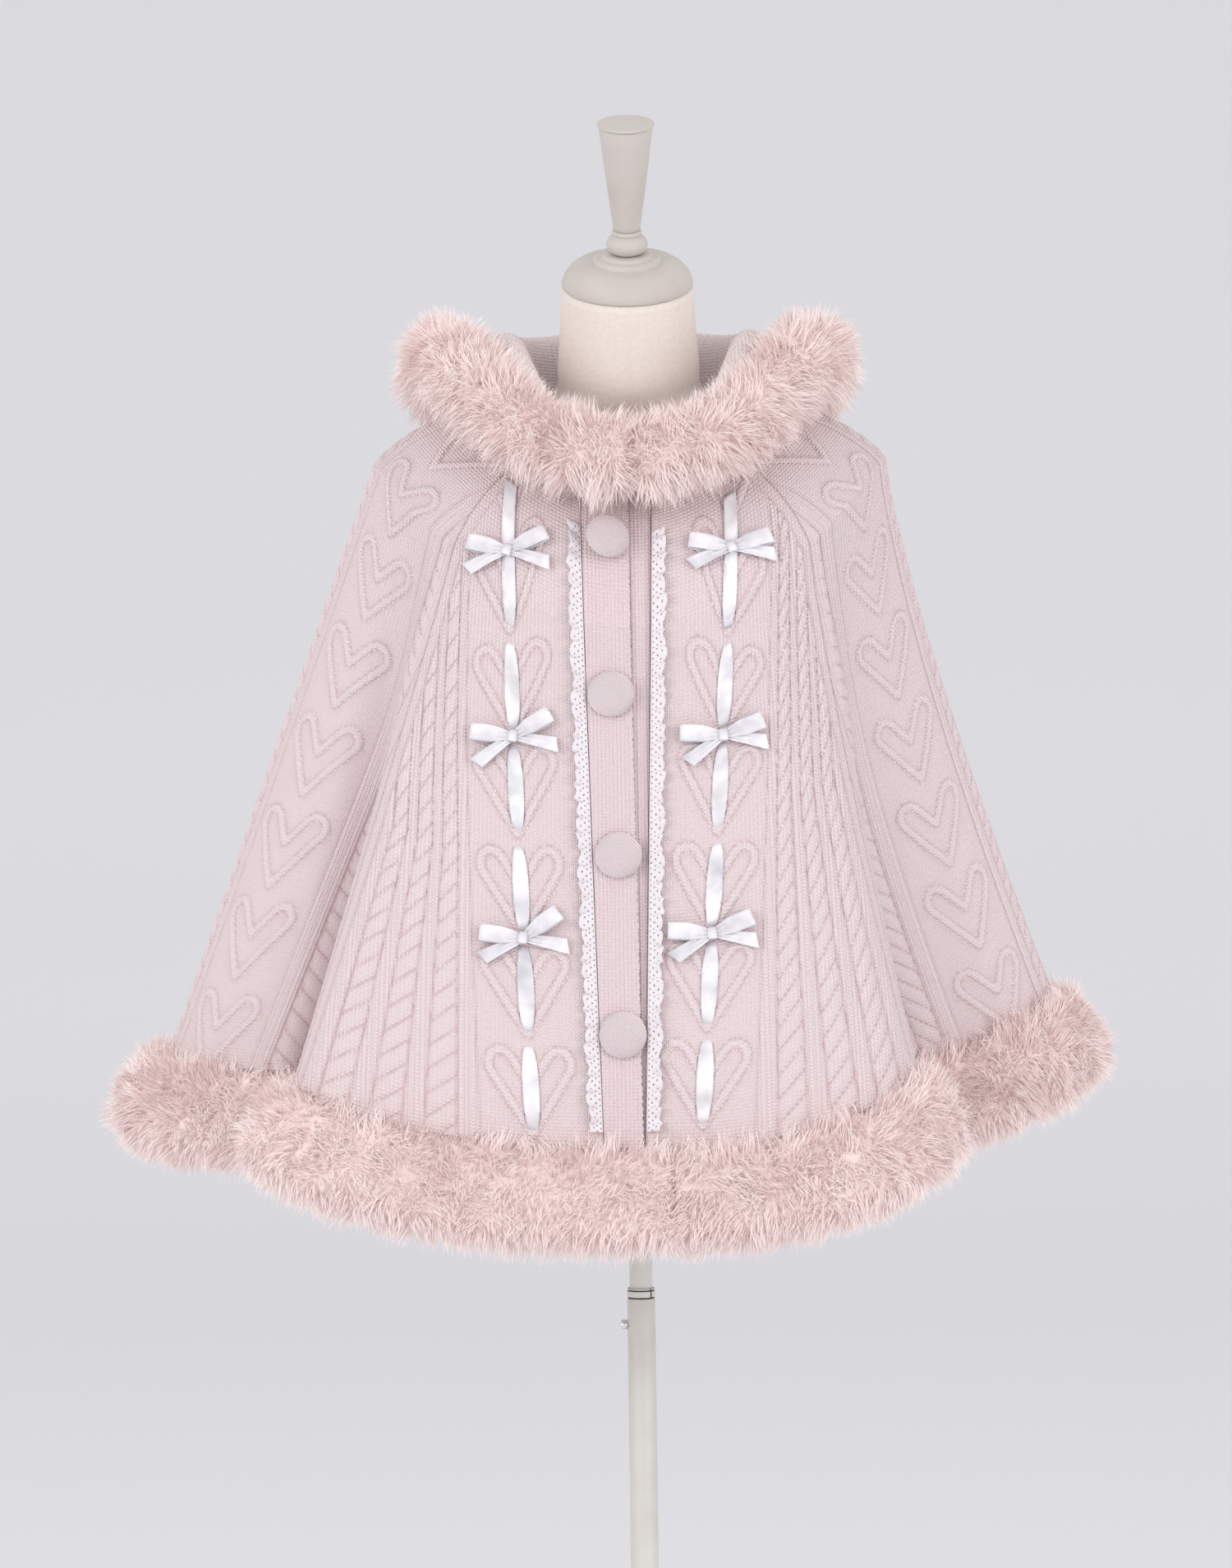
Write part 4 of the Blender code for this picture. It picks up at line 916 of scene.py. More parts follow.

# %% [markdown]
# ## Fur
#
# A fur border is a stuffed roll with long pile. Each thin tapered strand leaves the core outward and then
# falls, neighbours lean toward the middle of their tuft, and a tone rises from the root to the tip: painted
# shade, darkest at the root where the neighbouring hairs shade it.

# %% Pile builder
STRAND_WIDTH = 0.0012
STRAND_STEPS = 2
UNDERCOAT = 0.72
STRANDS_PER_TUFT = 80
TUFT_REACH = 0.010
STANDING = 0.8
CORE_TONE = 0.60
ROOT_TONE, TIP_TONE, TONE_RISE = 0.18, 0.92, 0.70
TONE_SPREAD = 0.07
ROOT_SWAY, ROOT_LEAN = 0.13, 0.26
TIP_OUT, TIP_SWAY, TIP_LEAN, TIP_PULL = 0.50, 0.15, 0.46, 0.42


def closed_roll(name, rings, look=PINK_FUR):
    """A closed tube from rings of points."""
    rows, sides = rings.shape[:2]
    points = np.concatenate((rings.reshape(-1, 3), [rings[0].mean(axis=0), rings[-1].mean(axis=0)]))
    caps = [(start + i, start + (i + 1) % sides, hub) for start, hub in
            ((0, rows * sides), ((rows - 1) * sides, rows * sides + 1)) for i in range(sides)]
    piece = new_piece(name, points, grid_quads(rows, sides, wrap=True), caps, look,
                      marks={"tone": np.full(len(points), CORE_TONE)})
    face_outward(piece)
    return piece


def scatter(rings, outward, count, random):
    """Even random points on a roll, with their outward directions."""
    sides = rings.shape[1]
    grids = [np.concatenate((grid, grid[:, :1]), axis=1) for grid in (rings, outward)]
    wrapped = grids[0]
    cell = np.linalg.norm(np.cross(wrapped[1:, :-1] - wrapped[:-1, :-1],
                                   wrapped[:-1, 1:] - wrapped[:-1, :-1]), axis=2).ravel()
    pick = random.choice(len(cell), count, p=cell / cell.sum())
    i, j = pick // sides, pick % sides
    u, v = random.random((2, count, 1))
    found = []
    for grid in grids:
        low = grid[i, j] * (1 - v) + grid[i, j + 1] * v
        high = grid[i + 1, j] * (1 - v) + grid[i + 1, j + 1] * v
        found.append(low * (1 - u) + high * u)
    return found[0], unit(found[1])


def rounded_end(rings, outward, bulge):
    """Rings that close the first end of a roll in a low dome, before its own rings."""
    middle = rings[0].mean(axis=0)
    axis = unit(middle - rings[1].mean(axis=0))
    more, ways = [], []
    for turn in np.radians((84, 62, 34)):
        more.append(middle + (rings[0] - middle) * math.cos(turn) + axis * bulge * math.sin(turn))
        ways.append(unit(outward[0] * math.cos(turn) + axis * math.sin(turn)))
    return np.concatenate((more, rings))[::-1], np.concatenate((ways, outward))[::-1]


def pile(roots, outward, count, length, seed, fall, steps, under):
    """Points, quads, tips and tones of tapered strands on a roll."""
    random = np.random.default_rng(seed)
    root, out = scatter(roots, outward, count, random)
    tufts, _ = scatter(roots, outward, max(8, count // STRANDS_PER_TUFT), random)
    nearest = np.concatenate([np.argmin(np.linalg.norm(part[:, None] - tufts[None], axis=2), axis=1)
                              for part in np.array_split(root, count // 4000 + 1)])
    pull = tufts[nearest] - root
    lean = unit(random.normal(size=(len(tufts), 3)))[nearest]
    sway = random.normal(size=(count, 3))
    reach = length * random.uniform(0.65, 1.15, count)[:, None] * (1 + under * np.clip(-out[:, 2:], 0, 1))
    drop = np.array((0.0, 0.0, -1.0)) * fall * (1 - STANDING * np.clip(out[:, 2:], 0, 1))
    gather = np.clip(np.linalg.norm(pull, axis=1)[:, None] / TUFT_REACH, 0, 1) * TIP_PULL
    first = unit(out + ROOT_SWAY * sway + ROOT_LEAN * lean)
    last = unit(out * TIP_OUT + drop + TIP_SWAY * sway + TIP_LEAN * lean + unit(pull + 1e-6) * gather)
    side = unit(np.cross(first, last) + 0.3 * unit(np.cross(first, sway)))
    tone = random.uniform(-TONE_SPREAD, TONE_SPREAD, count) + 0.10 * lean[:, 0]
    points, tones = [], []
    for share in np.arange(steps) / steps:
        middle = root + reach * (first * share * (1 - share / 2) + last * share ** 2 / 2)
        width = STRAND_WIDTH * (1 - share) ** 0.7 / 2
        points += [middle - side * width, middle + side * width]
        tones += [ROOT_TONE + TONE_RISE * share + tone] * 2
    points = np.stack([*points, root + reach * (first * 0.5 + last * 0.5)], axis=1)
    tones = np.stack([*tones, TIP_TONE + tone], axis=1)
    per = points.shape[1]
    start = np.arange(count)[:, None] * per
    quads = [start + (2 * k, 2 * k + 1, 2 * k + 3, 2 * k + 2) for k in range(steps - 1)]
    tips = start + (per - 3, per - 2, per - 1)
    return points.reshape(-1, 3), np.concatenate(quads or [np.zeros((0, 4), int)]), tips, tones.ravel()


def fur_piece(node, rings, outward, bulges, count, length, seed, fall=0.8, under=0.0):
    """Core, long pile and undercoat; under lengthens the hair below the core."""
    for bulge in bulges:
        rings, outward = rounded_end(rings, outward, bulge)
    core = closed_roll(node + "_roll", rings)
    points, quads, tips, tones = pile(rings, outward, count, length, seed, fall, STRAND_STEPS, under)
    coat = pile(rings, outward, count, length * UNDERCOAT, seed + 50, fall, 1, under)
    # The undercoat's tones are 0.05 lower: a little more painted shade, deep in the pile.
    strands = new_piece(node + "_roll_pile", np.concatenate((points, coat[0])), quads,
                        np.concatenate((tips, coat[2] + len(points))), PINK_FUR,
                        marks={"tone": np.concatenate((tones, coat[3] - 0.05))})
    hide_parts(node)
    print(node, len(strands.data.polygons), "faces in its pile")


# %% [markdown]
# The hem's fur is an oval roll along the folds, the hood's a round one. Both cores are smaller than their
# solids, so that the pile's tips end where the solids do.

# %% Hem fur
FUR_HALF_HEIGHT = 0.0520
FUR_DROP = 0.0008
FUR_POWER = 0.82
CORE_SHARE = 0.74
CORE_TOP = 0.96
CORE_BOTTOM = 0.30
CORE_SIDES = 28
CORE_TURN = FULL_TURN * np.arange(CORE_SIDES) / CORE_SIDES
HEM_BULGE = 0.003
FUR_SPLIT = 3.5
BACK_FUR_SPLIT = 9.5
FRONT_FUR_MEET = 0.30
FUR_STEP = 0.05
STRANDS_PER_STATION = 3000
PILE_LENGTH = 0.020
HEM_SPANS = (
    ("front_right", FRONT_FUR_MEET, FUR_SPLIT),
    ("sleeve_right", FUR_SPLIT, BACK_FUR_SPLIT),
    ("back", BACK_FUR_SPLIT, STATIONS - BACK_FUR_SPLIT),
    ("sleeve_left", STATIONS - BACK_FUR_SPLIT, STATIONS - FUR_SPLIT),
    ("front_left", -FUR_SPLIT, FRONT_FUR_MEET),
)


def power_of(value, power):
    """A power that keeps the sign."""
    return np.sign(value) * np.abs(value) ** power


def hem_roll(places):
    """Rings round the hem's fur at these places, and their outward directions."""
    point, normal, down = (part[:, None] for part in cape_frame(places, np.ones(len(places))))
    reach_out, reach_in = (spline(RINGS[key], places % STATIONS)[:, None] for key in ("fur_out", "fur_in"))
    middle = point - normal * WALL / 2 + down * (FUR_HALF_HEIGHT + FUR_DROP)
    across = power_of(np.sin(CORE_TURN), FUR_POWER)[None, :]
    upward = power_of(np.cos(CORE_TURN), FUR_POWER)[None, :]
    reach = np.where(across > 0, reach_out, reach_in) * across * CORE_SHARE
    height = upward * FUR_HALF_HEIGHT * np.where(upward > 0, CORE_TOP, CORE_BOTTOM)
    rings = middle + normal * reach[..., None] - down * height[..., None]
    sine, cosine = np.sin(CORE_TURN)[None, :, None], np.cos(CORE_TURN)[None, :, None]
    return rings, unit(normal * sine - down * cosine * 0.8)


for seed, (word, first, last) in enumerate(HEM_SPANS):
    fur_piece("hem_fur_" + word, *hem_roll(np.arange(first + 0.004, last, FUR_STEP)), (HEM_BULGE, HEM_BULGE),
              int(STRANDS_PER_STATION * (last - first)), PILE_LENGTH, seed)

# %% Hood fur
HOOD_SPANS = (("right", 0, 8), ("back", 8, 16), ("left", 16, 24))
HOOD_PARTS = 24
HOOD_STRANDS = 11500
HOOD_CORE = 0.60
HOOD_FRONT_BULGE = 0.0080


def hood_roll(first, last):
    """Rings round the hood's fur between two of its parts, and their outward directions."""
    start, span = HOOD_ENDS[0], HOOD_ENDS[1] - HOOD_ENDS[0]
    rings, outward = [], []
    for angle in np.linspace(start + span * first / HOOD_PARTS, start + span * last / HOOD_PARTS, 60):
        middle, aside, up = fur_axes(float(angle))
        away = aside * np.cos(CORE_TURN)[:, None] + up * np.sin(CORE_TURN)[:, None]
        rings.append(middle + away * fur_radius(float(angle)) * HOOD_CORE)
        outward.append(away)
    return np.array(rings), np.array(outward)


for seed, (word, first, last) in enumerate(HOOD_SPANS, 20):
    bulges = [HOOD_FRONT_BULGE if end in (0, HOOD_PARTS) else HEM_BULGE for end in (first, last)]
    fur_piece("hood_fur_" + word, *hood_roll(first, last), bulges, HOOD_STRANDS, PILE_LENGTH, seed,
              fall=0.42, under=0.45)

# %% [markdown]
# ## Plackets
#
# Two ribbed bands close the front, walls like the panels, moved out or in from the cloth. The upper one has
# a picot edge: small points along the side that shows.

# %% Bands down the front
PLACKET_RAISE = 0.0012
UNDER_DEPTH = 0.0028
BAND_STEP = 0.0008
BAND_RIB = 0.0030
RIB_HEIGHT = 0.0008
BAND_HOLLOW = 0.0030
PICOT_STEP = 0.0026
PICOT_REACH = 0.0012
PLACKETS = (
    ("placket_over", OVER_LEFT_EDGE, OVER_RIGHT_EDGE, PLACKET_RAISE, 1.0),
    ("placket_under", UNDER_LEFT_EDGE, UNDER_RIGHT_EDGE, -UNDER_DEPTH, 0.0),
)


def band(name, edges, ends, steps, rise_of, wall, look, wave=0.0):
    """A closed band between two distances from the middle, between two shares of the way down."""
    length = (ends[1] - ends[0]) * FRONT_LENGTH
    rows = int(length / steps[1]) + 1
    t = np.linspace(*ends, rows)
    low, high = (edge(t)[:, None] for edge in edges)
    width = float(np.max(high - low))
    columns = int(width / steps[0]) + 2
    share = np.linspace(0, 1, columns)[None, :]
    picot = PICOT_REACH * (np.arange(rows) % 2)[:, None]
    distance = low + (high - low) * share + wave * picot * np.clip(share * 4 - 3, 0, 1)
    height, uv, point, normal, _ = on_cloth(distance, t, FRONT_LENGTH, *run_lengths(0.0, t))
    rise = rise_of(distance, share + 0 * distance, height)
    outer = point + normal * rise[..., None]
    few = np.ix_([*range(0, rows - 1, 3), rows - 1], [*range(0, columns - 1, 4), columns - 1])
    inner = point[few] + normal[few] * (float(rise.mean()) - wall)
    # The tone mark is painted shade in the hollows of the band's ribs.
    piece = cloth_wall(name, outer, inner, look, uv, {"tone": painted_hollow_shade(rise, BAND_HOLLOW)})
    return piece, grid_area(outer), width, length


def placket(name, left, right, base, wave):
    def rise(distance, share, height):
        ribs = 0.5 + 0.5 * np.cos(FULL_TURN * distance / BAND_RIB)
        edge = np.clip(np.minimum(share, 1 - share) * 12, 0, 1)
        return base - RIB_HEIGHT + RIB_HEIGHT * ribs ** 0.7 * edge

    edges = [lambda t: between(left, t), lambda t: between(right, t)]
    piece, area, width, length = band(name + "_rib", edges, (0.0, 1.0), (BAND_STEP, PICOT_STEP), rise, WALL,
                                      PINK_RIB, wave)
    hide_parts(name)
    print(name, round(width * 1000), "mm wide")


for row in PLACKETS:
    placket(*row)

# %% [markdown]
# ## Lace
#
# Gathered cotton lace is sewn beside each placket. Its free edge waves and is scalloped, and rows of small
# eyelets are cells left out of the grid.

# %% Lace
LACE_WIDTH = 0.0130
LACE_NARROWER = 0.0018
LACE_ENDS = (0.10, 0.975)
LACE_SPAN = LACE_ENDS[1] - LACE_ENDS[0]
LACE_CELL = 0.0011
LACE_WALL = 0.0005
LACE_WAVES = 37
LACE_STAND = 0.0034
LACE_WAVE = 0.0022
LACE_SWAY = 0.0016
RIPPLE_RATE = 190
RIPPLE_WIDTH = 0.0010
SCALLOP = 0.0095
SCALLOP_REACH = 0.0022
EYELET_PITCH = 3


def lace_strip(name, sewn, side):
    t = np.linspace(*LACE_ENDS, int(LACE_SPAN * FRONT_LENGTH / LACE_CELL))
    rows, columns = len(t), int(LACE_WIDTH / LACE_CELL) + 1
    share = np.linspace(0, 1, columns)[None, :]
    down = t * FRONT_LENGTH
    scallop = SCALLOP_REACH * np.abs(np.sin(math.pi * down / SCALLOP))
    width = LACE_WIDTH - LACE_NARROWER - SCALLOP_REACH + scallop
    width = width + RIPPLE_WIDTH * np.sin(down * RIPPLE_RATE + side)
    distance = between(sewn, t)[:, None] + side * (2 * GAP + width[:, None] * share)
    height, uv, point, normal, down_way = on_cloth(distance, t, FRONT_LENGTH, *run_lengths(0.0, t))
    turn = FULL_TURN * LACE_WAVES * (height - LACE_ENDS[0]) / LACE_SPAN
    wave = np.cos(turn + 0.9 * np.sin(turn * 0.23) + side)
    rise = GAP + LACE_WALL + (LACE_STAND + LACE_WAVE * wave) * share ** 0.8
    points = point + normal * rise[..., None] + down_way * (LACE_SWAY * np.sin(turn) * share)[..., None]
    i, j = np.indices((rows - 1, columns - 1))
    in_row = (j % EYELET_PITCH == 1) & (j < columns - 2)
    closed = ~(in_row & ((i + (j // EYELET_PITCH) * 2) % 4 < 1)).ravel()
    piece = new_piece(name + "_strip", points.reshape(-1, 3), grid_quads(rows, columns)[closed], [],
                      WHITE_LACE, uv.reshape(-1, 2))
    thicken(piece, LACE_WALL, 0.0)
    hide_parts(name)
    print(name, "open cells", int((~closed).sum()))


lace_strip("lace_right", UNDER_RIGHT_EDGE, 1)
lace_strip("lace_left", OVER_LEFT_EDGE, -1)

# %% [markdown]
# ## Ribbons and bows
#
# White satin ribbon runs down the middle of the hearts and dips behind the knit at each tip, so it shows as
# separate lengths that narrow at their ends. A bow is tied at every second tip.

# %% Ribbons
RIBBON_HALF = 0.0064
RIBBON_DASHES = 6
RIBBON_TOP = 0.050
RIBBON_INSET = 0.0060
RIBBON_WALL = 0.0008
RIBBON_END = 0.018
RIBBON_DIP = 0.005
RIBBON_CELL = (0.0015, 0.0022)
TOP_LIFT, TOP_LENGTH = 0.0013, 0.020
RIBBON_CROWN, RIBBON_RIPPLE, RIBBON_BEHIND = 0.0007, 0.0004, 0.0012
SIDES = {1: "right", -1: "left"}


def ribbon_line(side, t):
    return side * between(RIBBON_LINES[side], t)


def ribbon_dash(side, number):
    low = FRONT_TIPS[side] + (number - 1) * FRONT_PITCH + RIBBON_INSET if number else RIBBON_TOP
    high = FRONT_TIPS[side] + number * FRONT_PITCH - RIBBON_INSET
    ends = low / FRONT_LENGTH, high / FRONT_LENGTH

    def from_end(t):
        """How far from a narrow end; the first length stays wide at its top, under the fur."""
        return (np.minimum(t - ends[0], ends[1] - t) if number else ends[1] - t) * FRONT_LENGTH

    def half(t):
        return RIBBON_HALF * (0.52 + 0.48 * np.clip(from_end(t) / RIBBON_END, 0, 1) ** 0.7)

    def rise(distance, share, height):
        crown = RIBBON_CROWN * (1 - (2 * share - 1) ** 2)
        ripple = RIBBON_RIPPLE * np.sin(height * RIPPLE_RATE + number * 1.7 + side)
        dip = np.clip(from_end(height) / RIBBON_DIP, 0, 1) ** 0.5
        lift = TOP_LIFT * np.clip(2 - (height - ends[0]) * FRONT_LENGTH / TOP_LENGTH, 0, 1) * (number == 0)
        return (GAP + RIBBON_WALL + crown + ripple) * dip - RIBBON_BEHIND * (1 - dip) + lift

    name = f"ribbon_{SIDES[side]}_{number + 1}"
    edges = [lambda t: ribbon_line(side, t) - half(t), lambda t: ribbon_line(side, t) + half(t)]
    piece, _, _, length = band(name + "_satin", edges, ends, RIBBON_CELL, rise, 0.0004, WHITE_SATIN)
    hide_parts(name)


for side in SIDES:
    for number in range(RIBBON_DASHES):
        ribbon_dash(side, number)

# %% Bows
BOWS = (
    (-1, 0.0916, 43, 0, 221, 183),
    (-1, 0.2182, 37, -5, 222, 179),
    (-1, 0.3646, 41, -6, 210, 177),
    (1, 0.0830, 2, -25, 186, 153),
    (1, 0.2117, 17, -12, 213, 174),
    (1, 0.3581, 19, -12, 209, 173),
)
BOW_REACH = 0.0345
BOW_STAND = 0.0030
BOW_WALL = 0.0004
BOW_WAIST = 0.0024
LOOP_WIDER, TAIL_WIDER = 0.0042, 0.0034
TAIL_SLANT = 0.0022
KNOT_HALF = (0.0032, 0.0044, 0.0030)
LOOP_HEIGHT = 0.0062
LOOP_STEPS = 28
BOW_ACROSS = 8
BOW_CREASE = 0.0014


def cloth_matrix(distance, t, offset):
    """A frame on the cloth: X along the ring, Y up the cloth, Z outward."""
    places, lengths = run_lengths(0.0, t)
    point, normal, down = cape_frame(float(np.interp(distance, lengths[0], places)), t)
    normal, up = Vector(normal), -Vector(down)
    turned = Matrix((up.cross(normal), up, normal)).transposed().to_4x4()
    turned.translation = Vector(point) + normal * offset
    return turned


def ribbon_arm(reach, height, widths, folds):
    """A strip of ribbon along a path of reach and height, gathered where it is narrow."""
    share = np.linspace(-1, 1, BOW_ACROSS)[None, :]
    path = np.stack((reach, height), axis=1)
    along = np.gradient(path, axis=0)
    along /= np.linalg.norm(along, axis=1, keepdims=True) + 1e-9
    (x, z), (dx, dz) = path.T[..., None], along.T[..., None]
    crease = folds[:, None] * BOW_CREASE * np.cos(share * math.pi * 2.2)
    return np.stack((x - dz * crease, share * widths[:, None], z + dx * crease), axis=2)


def bow_loop():
    turn = np.linspace(0, FULL_TURN, LOOP_STEPS)
    reach = 0.0025 + (BOW_REACH - 0.0035) * (0.5 - 0.5 * np.cos(turn)) ** 0.75
    height = LOOP_HEIGHT * 0.5 * np.sin(turn) * (0.35 + 0.65 * np.clip(reach / BOW_REACH, 0, 1)) + 0.0014
    near = np.clip((reach - 0.002) / 0.014, 0, 1)
    return ribbon_arm(reach, height, BOW_WAIST + LOOP_WIDER * near ** 0.7, 1 - near)


def bow_tail(kick):
    share = np.linspace(0, 1, 16)
    reach = 0.002 + (BOW_REACH - 0.0015) * share
    height = 0.0008 + kick * np.sin(share * math.pi * 1.3)
    grid = ribbon_arm(reach, height, BOW_WAIST + TAIL_WIDER * share ** 0.6, 1 - share)
    grid[-1, :, 0] -= TAIL_SLANT * np.linspace(-1, 1, BOW_ACROSS)
    return grid


def bow_knot():
    turn, across = np.linspace(0, FULL_TURN, 17)[None, :], np.linspace(-1, 1, 7)[:, None]
    x = KNOT_HALF[0] * power_of(np.cos(turn), 0.7) * (1 - 0.12 * across ** 2)
    z = (BOW_WAIST + KNOT_HALF[2] * np.sin(turn)) * (1 - 0.25 * across ** 2)
    return np.stack((x, across * KNOT_HALF[1] + 0 * turn, z), axis=2)


def bow(name, side, down, right_loop, right_tail, left_tail, left_loop):
    """A bow tied at a length down the ribbon; its loops and tails are turned by degrees."""
    grids = [bow_knot()]
    for grid, degrees in ((bow_loop(), left_loop), (bow_loop(), right_loop), (bow_tail(0.0014), left_tail),
                          (bow_tail(0.0010), right_tail)):
        grids.insert(0, grid @ np.array(Matrix.Rotation(-math.radians(degrees), 3, "Z")))
    quads, start = [], 0
    for grid in grids:
        quads.append(grid_quads(*grid.shape[:2], start))
        start += grid.shape[0] * grid.shape[1]
    points = np.concatenate([grid.reshape(-1, 3) for grid in grids])
    piece = new_piece(name + "_satin", points, np.concatenate(quads), [], WHITE_SATIN, points[:, :2])
    piece.data.transform(cloth_matrix(ribbon_line(side, down / FRONT_LENGTH), down / FRONT_LENGTH, BOW_STAND))
    thicken(piece, BOW_WALL)
    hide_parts(name)


for number, (side, *row) in enumerate(BOWS):
    bow(f"bow_{SIDES[side]}_{number % 3 + 1}", side, *row)
print("bows:", len(BOWS))

# %% [markdown]
# ## Turned pieces
#
# Buttons, neck cap, finial, pole and base start as a circle that is extruded and scaled step by step along
# a profile, as on a lathe. Profiles are pairs of radius and height in millimetres.

# %% A lathe in edit mode
SMOOTH_DEGREES = 50


def lathe(name, profile, sides, look, body, place):
    """A turned piece, from one end's rim to the other's."""
    (radius, height), *rest = np.array(profile) / 1000
    bpy.ops.mesh.primitive_circle_add(vertices=sides, radius=radius, fill_type="NGON",
                                      location=(0, 0, height))
    piece = bpy.context.object
    bpy.ops.object.transform_apply(location=True, rotation=False, scale=False)
    bpy.ops.object.mode_set(mode="EDIT")
    bpy.ops.mesh.select_all(action="SELECT")
    for next_radius, next_height in rest:
        bpy.ops.mesh.extrude_region_move(TRANSFORM_OT_translate={"value": (0, 0, next_height - height)})
        size = next_radius / radius
        bpy.ops.transform.resize(value=(size, size, 1), center_override=(0, 0, next_height))
        radius, height = next_radius, next_height
    bpy.ops.mesh.select_all(action="SELECT")
    bpy.ops.mesh.normals_make_consistent(inside=False)
    bpy.ops.object.mode_set(mode="OBJECT")
    piece.name = piece.data.name = name
    piece.data.transform(place)
    piece.data.materials.append(look)
    bpy.ops.object.shade_smooth_by_angle(angle=math.radians(SMOOTH_DEGREES))
    piece.select_set(False)
    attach(piece, body)
    return piece


def paint_recess_shade(piece, chosen):
    """Give the faces whose middle is chosen, in the frame's axes, a dark look: painted shade in a gap, slit
    or hole.
    """
    piece.data.materials.append(PAINTED_RECESS_SHADE)
    for face in piece.data.polygons:
        if chosen(face.center):
            face.material_index = 1


# %% Buttons
BUTTONS = (
    (0.0590, -0.0190, 24, 0.0062),
    (0.1682, -0.0175, 0, 0.0),
    (0.2934, -0.0135, 0, 0.0),
    (0.4314, -0.0120, 0, 0.0),
)
DOME = ((16.2, 0), (17.73, 0.48), (18, 1.6), (17.73, 2.72), (16.74, 4), (15.12, 5.28), (12.6, 6.4),
        (9.36, 7.28), (5.94, 7.76), (2.52, 8))
for number, (down, distance, degrees, lift) in enumerate(BUTTONS, 1):
    place = cloth_matrix(distance, down / FRONT_LENGTH, PLACKET_RAISE + GAP * 2 + lift)
    piece = lathe(f"button_{number}_covered", DOME, 48, PINK_TWILL, "form",
                  place @ Matrix.Rotation(math.radians(degrees), 4, "Y"))
    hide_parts(f"button_{number}")
print("buttons:", len(BUTTONS))

# %% Neck cap, finial and stand
NECK_CENTRE = (0.0, -0.012, 1.428)
NECK_LEAN = 26.8
NECK_PLACE = (Matrix.Translation(NECK_CENTRE) @ Matrix.Rotation(math.radians(NECK_LEAN), 4, "X")
              @ Matrix.Translation((0.0, 0.0, GAP * 1.5)))
TURNED = (
    ("neck_cap", 72, ((50, 0), (52.3, 0.6), (52.5, 2.2), (52, 4), (51.2, 6.8), (49, 10.5), (45.5, 14.5),
                      (41, 17.5), (35, 19), (27.7, 19.6), (27.2, 21.5), (25.6, 23), (24, 23.4), (20.5, 23.8),
                      (20, 25.5), (19, 26.2), (12, 26.4))),
    ("finial_bulb", 48, ((8, 26.6), (11, 26.8), (13.5, 28.2), (15.5, 30.5), (16.7, 34), (15.8, 37.5),
                         (14, 39.6), (11.2, 40.8), (10.8, 41.8), (12, 43.2), (12, 44.6), (10.8, 45.8))),
    ("finial", 48, ((10, 46), (10.8, 46.6), (11.2, 50), (14, 72), (17.2, 96), (19.8, 118), (21.2, 129),
                    (20.8, 130.8))),
    ("finial_lid", 48, ((21.6, 131.2), (22.3, 131.6), (22.5, 132.5), (22, 133.4), (12, 133.7))),
)
for name, sides, profile in TURNED:
    piece = lathe(name + "_turned", profile, sides, CREAM_WOOD, "form", NECK_PLACE)
    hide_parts(name)

TUBE_RADIUS = 0.0112
COLLAR_NECK = 0.0106
COLLAR_BORE = 0.0100
COLLAR_SLIT = (-48.0, -42.0)
STAND_TURNED = (
    ("base", "stand", 96, ((166, 0), (169.5, 1.2), (170, 3), (169.5, 5.2), (166.5, 7), (156, 8.2), (120, 11),
                           (30, 14), (13, 14))),
    ("tube", "stand", 48, ((10.8, 14.3), (11.2, 14.8), (11.2, 615.4), (10.7, 616), (9.6, 616))),
    ("collar", "stand", 96, ((10.6, 616.3), (10.6, 617.3), (11.2, 617.5), (11.2, 621.9), (10.6, 622.1),
                             (10.6, 623.1), (11, 623.3), (10.5, 624.3), (9.6, 624.3))),
    ("post", "form", 40, ((8.8, 350), (9.2, 350.5), (9.2, 711.7))),
)
for name, body, sides, profile in STAND_TURNED:
    piece = lathe(name + "_turned", profile, sides, CREAM_METAL, body, Matrix())
    if name == "collar":
        # Painted shade: the collar's narrow necks at its ends and its slit get dark faces.
        paint_recess_shade(piece, lambda at: COLLAR_BORE < math.hypot(at.x, at.y) < COLLAR_NECK
               or COLLAR_SLIT[0] < math.degrees(math.atan2(at.y, at.x)) < COLLAR_SLIT[1])
    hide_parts(name)

SCREW_HEIGHT = 0.595
SCREW_START = -TUBE_RADIUS - GAP
SCREW_FACE, SOCKET_RADIUS = 0.0046, 0.0019
SCREW = ((3.6, 0), (4, 0.6), (4, 3.4), (3.4, 4.5), (1.8, 4.5), (1.7, 3), (0.4, 3))
screw = lathe("set_screw_turned", SCREW, 24, ZINC, "stand",
              Matrix.Translation((SCREW_START, 0.0, SCREW_HEIGHT)) @ Matrix.Rotation(-math.pi / 2, 4, "Y"))
# Painted shade: the faces inside the screw's socket are dark.
paint_recess_shade(screw, lambda at: at.x > SCREW_START - SCREW_FACE
       and math.hypot(at.y, at.z - SCREW_HEIGHT) < SOCKET_RADIUS)
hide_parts("set_screw")
print("turned pieces:", len(TURNED) + len(STAND_TURNED) + 1)

# %% [markdown]
# ## Torso
#
# The form is lofted through its sections, with a sewn seam down the middle of the front. Each row gives
# height, half width, half depth and place in Y in millimetres, and the section's lean in degrees.

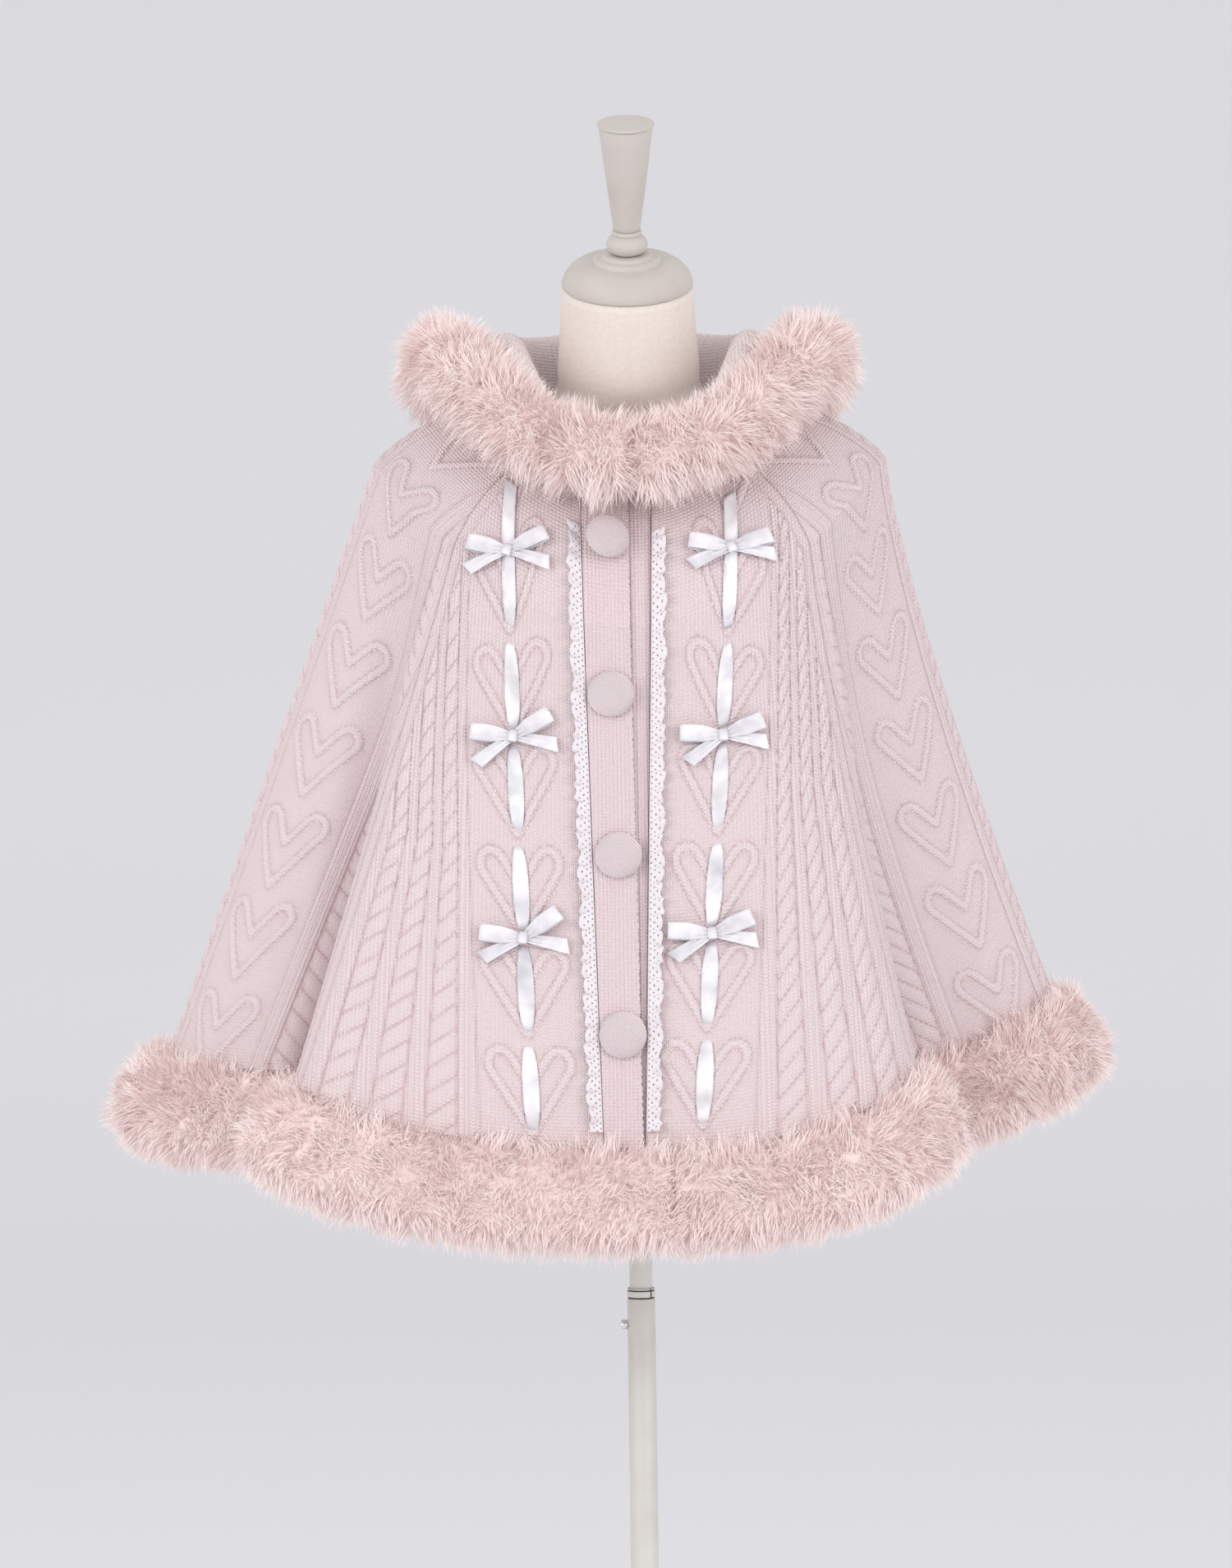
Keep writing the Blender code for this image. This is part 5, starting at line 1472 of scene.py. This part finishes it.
# %% Torso
TORSO_ROWS = (
    (712, 150, 96, 0, 0),
    (720, 160, 104, 0, 0),
    (800, 166, 110, 2, 0),
    (880, 158, 106, 0, 0),
    (960, 130, 92, -2, 0),
    (1010, 120, 86, -4, 0),
    (1070, 132, 92, -4, 0),
    (1140, 154, 102, -6, 0),
    (1200, 168, 98, -2, 0),
    (1248, 184, 84, 4, 0),
    (1279, 192.5, 72, 6, 0),
    (1297, 187, 60, 6, 4),
    (1311, 165, 54, 6, 8),
    (1323.5, 124, 44, 8, 8),
    (1332, 88, 44, 8, 12),
    (1346, 60, 50, 3, 18),
    (1366, 57, 57, 1, 23),
    (1395, 54.5, 54.5, -5, 25),
    (1428, 52.5, 52.5, -12, NECK_LEAN),
)
FORM_POWER = 0.88
TORSO_SIDES = 160
TORSO_STEP = 0.25
SEAM_GROOVE = 0.0007
SEAM_GROOVE_HALF = 0.0012


def torso():
    rows = np.array(TORSO_ROWS) / (1000, 1000, 1000, 1000, 1)
    steps = np.arange(0, len(rows) - 1 + 1e-6, TORSO_STEP)
    fine = np.stack([spline(column, steps, closed=False) for column in rows.T], axis=-1)
    angle = FULL_TURN * np.arange(TORSO_SIDES) / TORSO_SIDES
    rings = []
    for z, half_width, half_depth, y, lean in fine:
        power = 1.0 - (1.0 - FORM_POWER) * np.clip((half_width - 0.058) / 0.02, 0, 1)
        from_seam = (angle - math.pi * 1.5) * half_width / SEAM_GROOVE_HALF
        groove = 1 - SEAM_GROOVE / half_depth * np.exp(-from_seam ** 2)
        depth = half_depth * power_of(np.sin(angle), power) * groove
        tilt = math.radians(lean)
        rings.append(np.stack((half_width * power_of(np.cos(angle), power), y + depth * math.cos(tilt),
                               z + depth * math.sin(tilt)), axis=1))
    piece = closed_roll("torso_linen", np.array(rings), CREAM_LINEN)
    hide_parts("torso")


torso()

# %% [markdown]
# ## Floor, backdrop and light
#
# A pale sweep stands behind and below the form, lit by large soft lights from each side and from above.

# %% Studio
SWEEP = ((-7.5, 0.0), (4.6, 0.0), (5.4, 0.05), (6.2, 0.25), (6.8, 0.7), (7.15, 1.4), (7.3, 2.4), (7.3, 8.0))
SWEEP_HALF = 11.0
LIGHTS = (
    ("Key Light", (-2.5, -2.4, 1.9), 2.4, 39.0),
    ("Fill Light", (2.5, -2.3, 1.5), 2.4, 32.0),
    ("Top Light", (0.0, -0.6, 3.4), 2.6, 1.5),
)
AIM = Vector((0.0, 0.0, 1.0))
BACKDROP_COLOUR = "EAEBEE"
WORLD_COLOUR, WORLD_STRENGTH = "F6F3F4", 0.93
sweep = bpy.data.meshes.new("backdrop")
sweep.from_pydata([(x, y, z) for y, z in SWEEP for x in (-SWEEP_HALF, SWEEP_HALF)], [],
                  [(i, i + 1, i + 3, i + 2) for i in range(0, 2 * len(SWEEP) - 2, 2)])
sweep.materials.append(blank_material("Pale Backdrop Paper", BACKDROP_COLOUR, 1.0, Specular_IOR_Level=0.0)[0])
sweep.shade_smooth()
link_object("backdrop", sweep)
for name, place, size, watts in LIGHTS:
    lamp = bpy.data.lights.new(name, "AREA")
    lamp.shape = "DISK"
    lamp.size = size
    lamp.energy = watts
    holder = link_object(name, lamp)
    holder.location = place
    holder.rotation_euler = (AIM - Vector(place)).to_track_quat("-Z", "Y").to_euler()
world = bpy.data.worlds.new("Soft Room")
world.use_nodes = True
background = world.node_tree.nodes["Background"]
background.inputs[0].default_value = linear(WORLD_COLOUR)
background.inputs[1].default_value = WORLD_STRENGTH
bpy.context.scene.world = world
bpy.context.scene.view_settings.view_transform = "Standard"
print("lights:", [row[0] for row in LIGHTS])
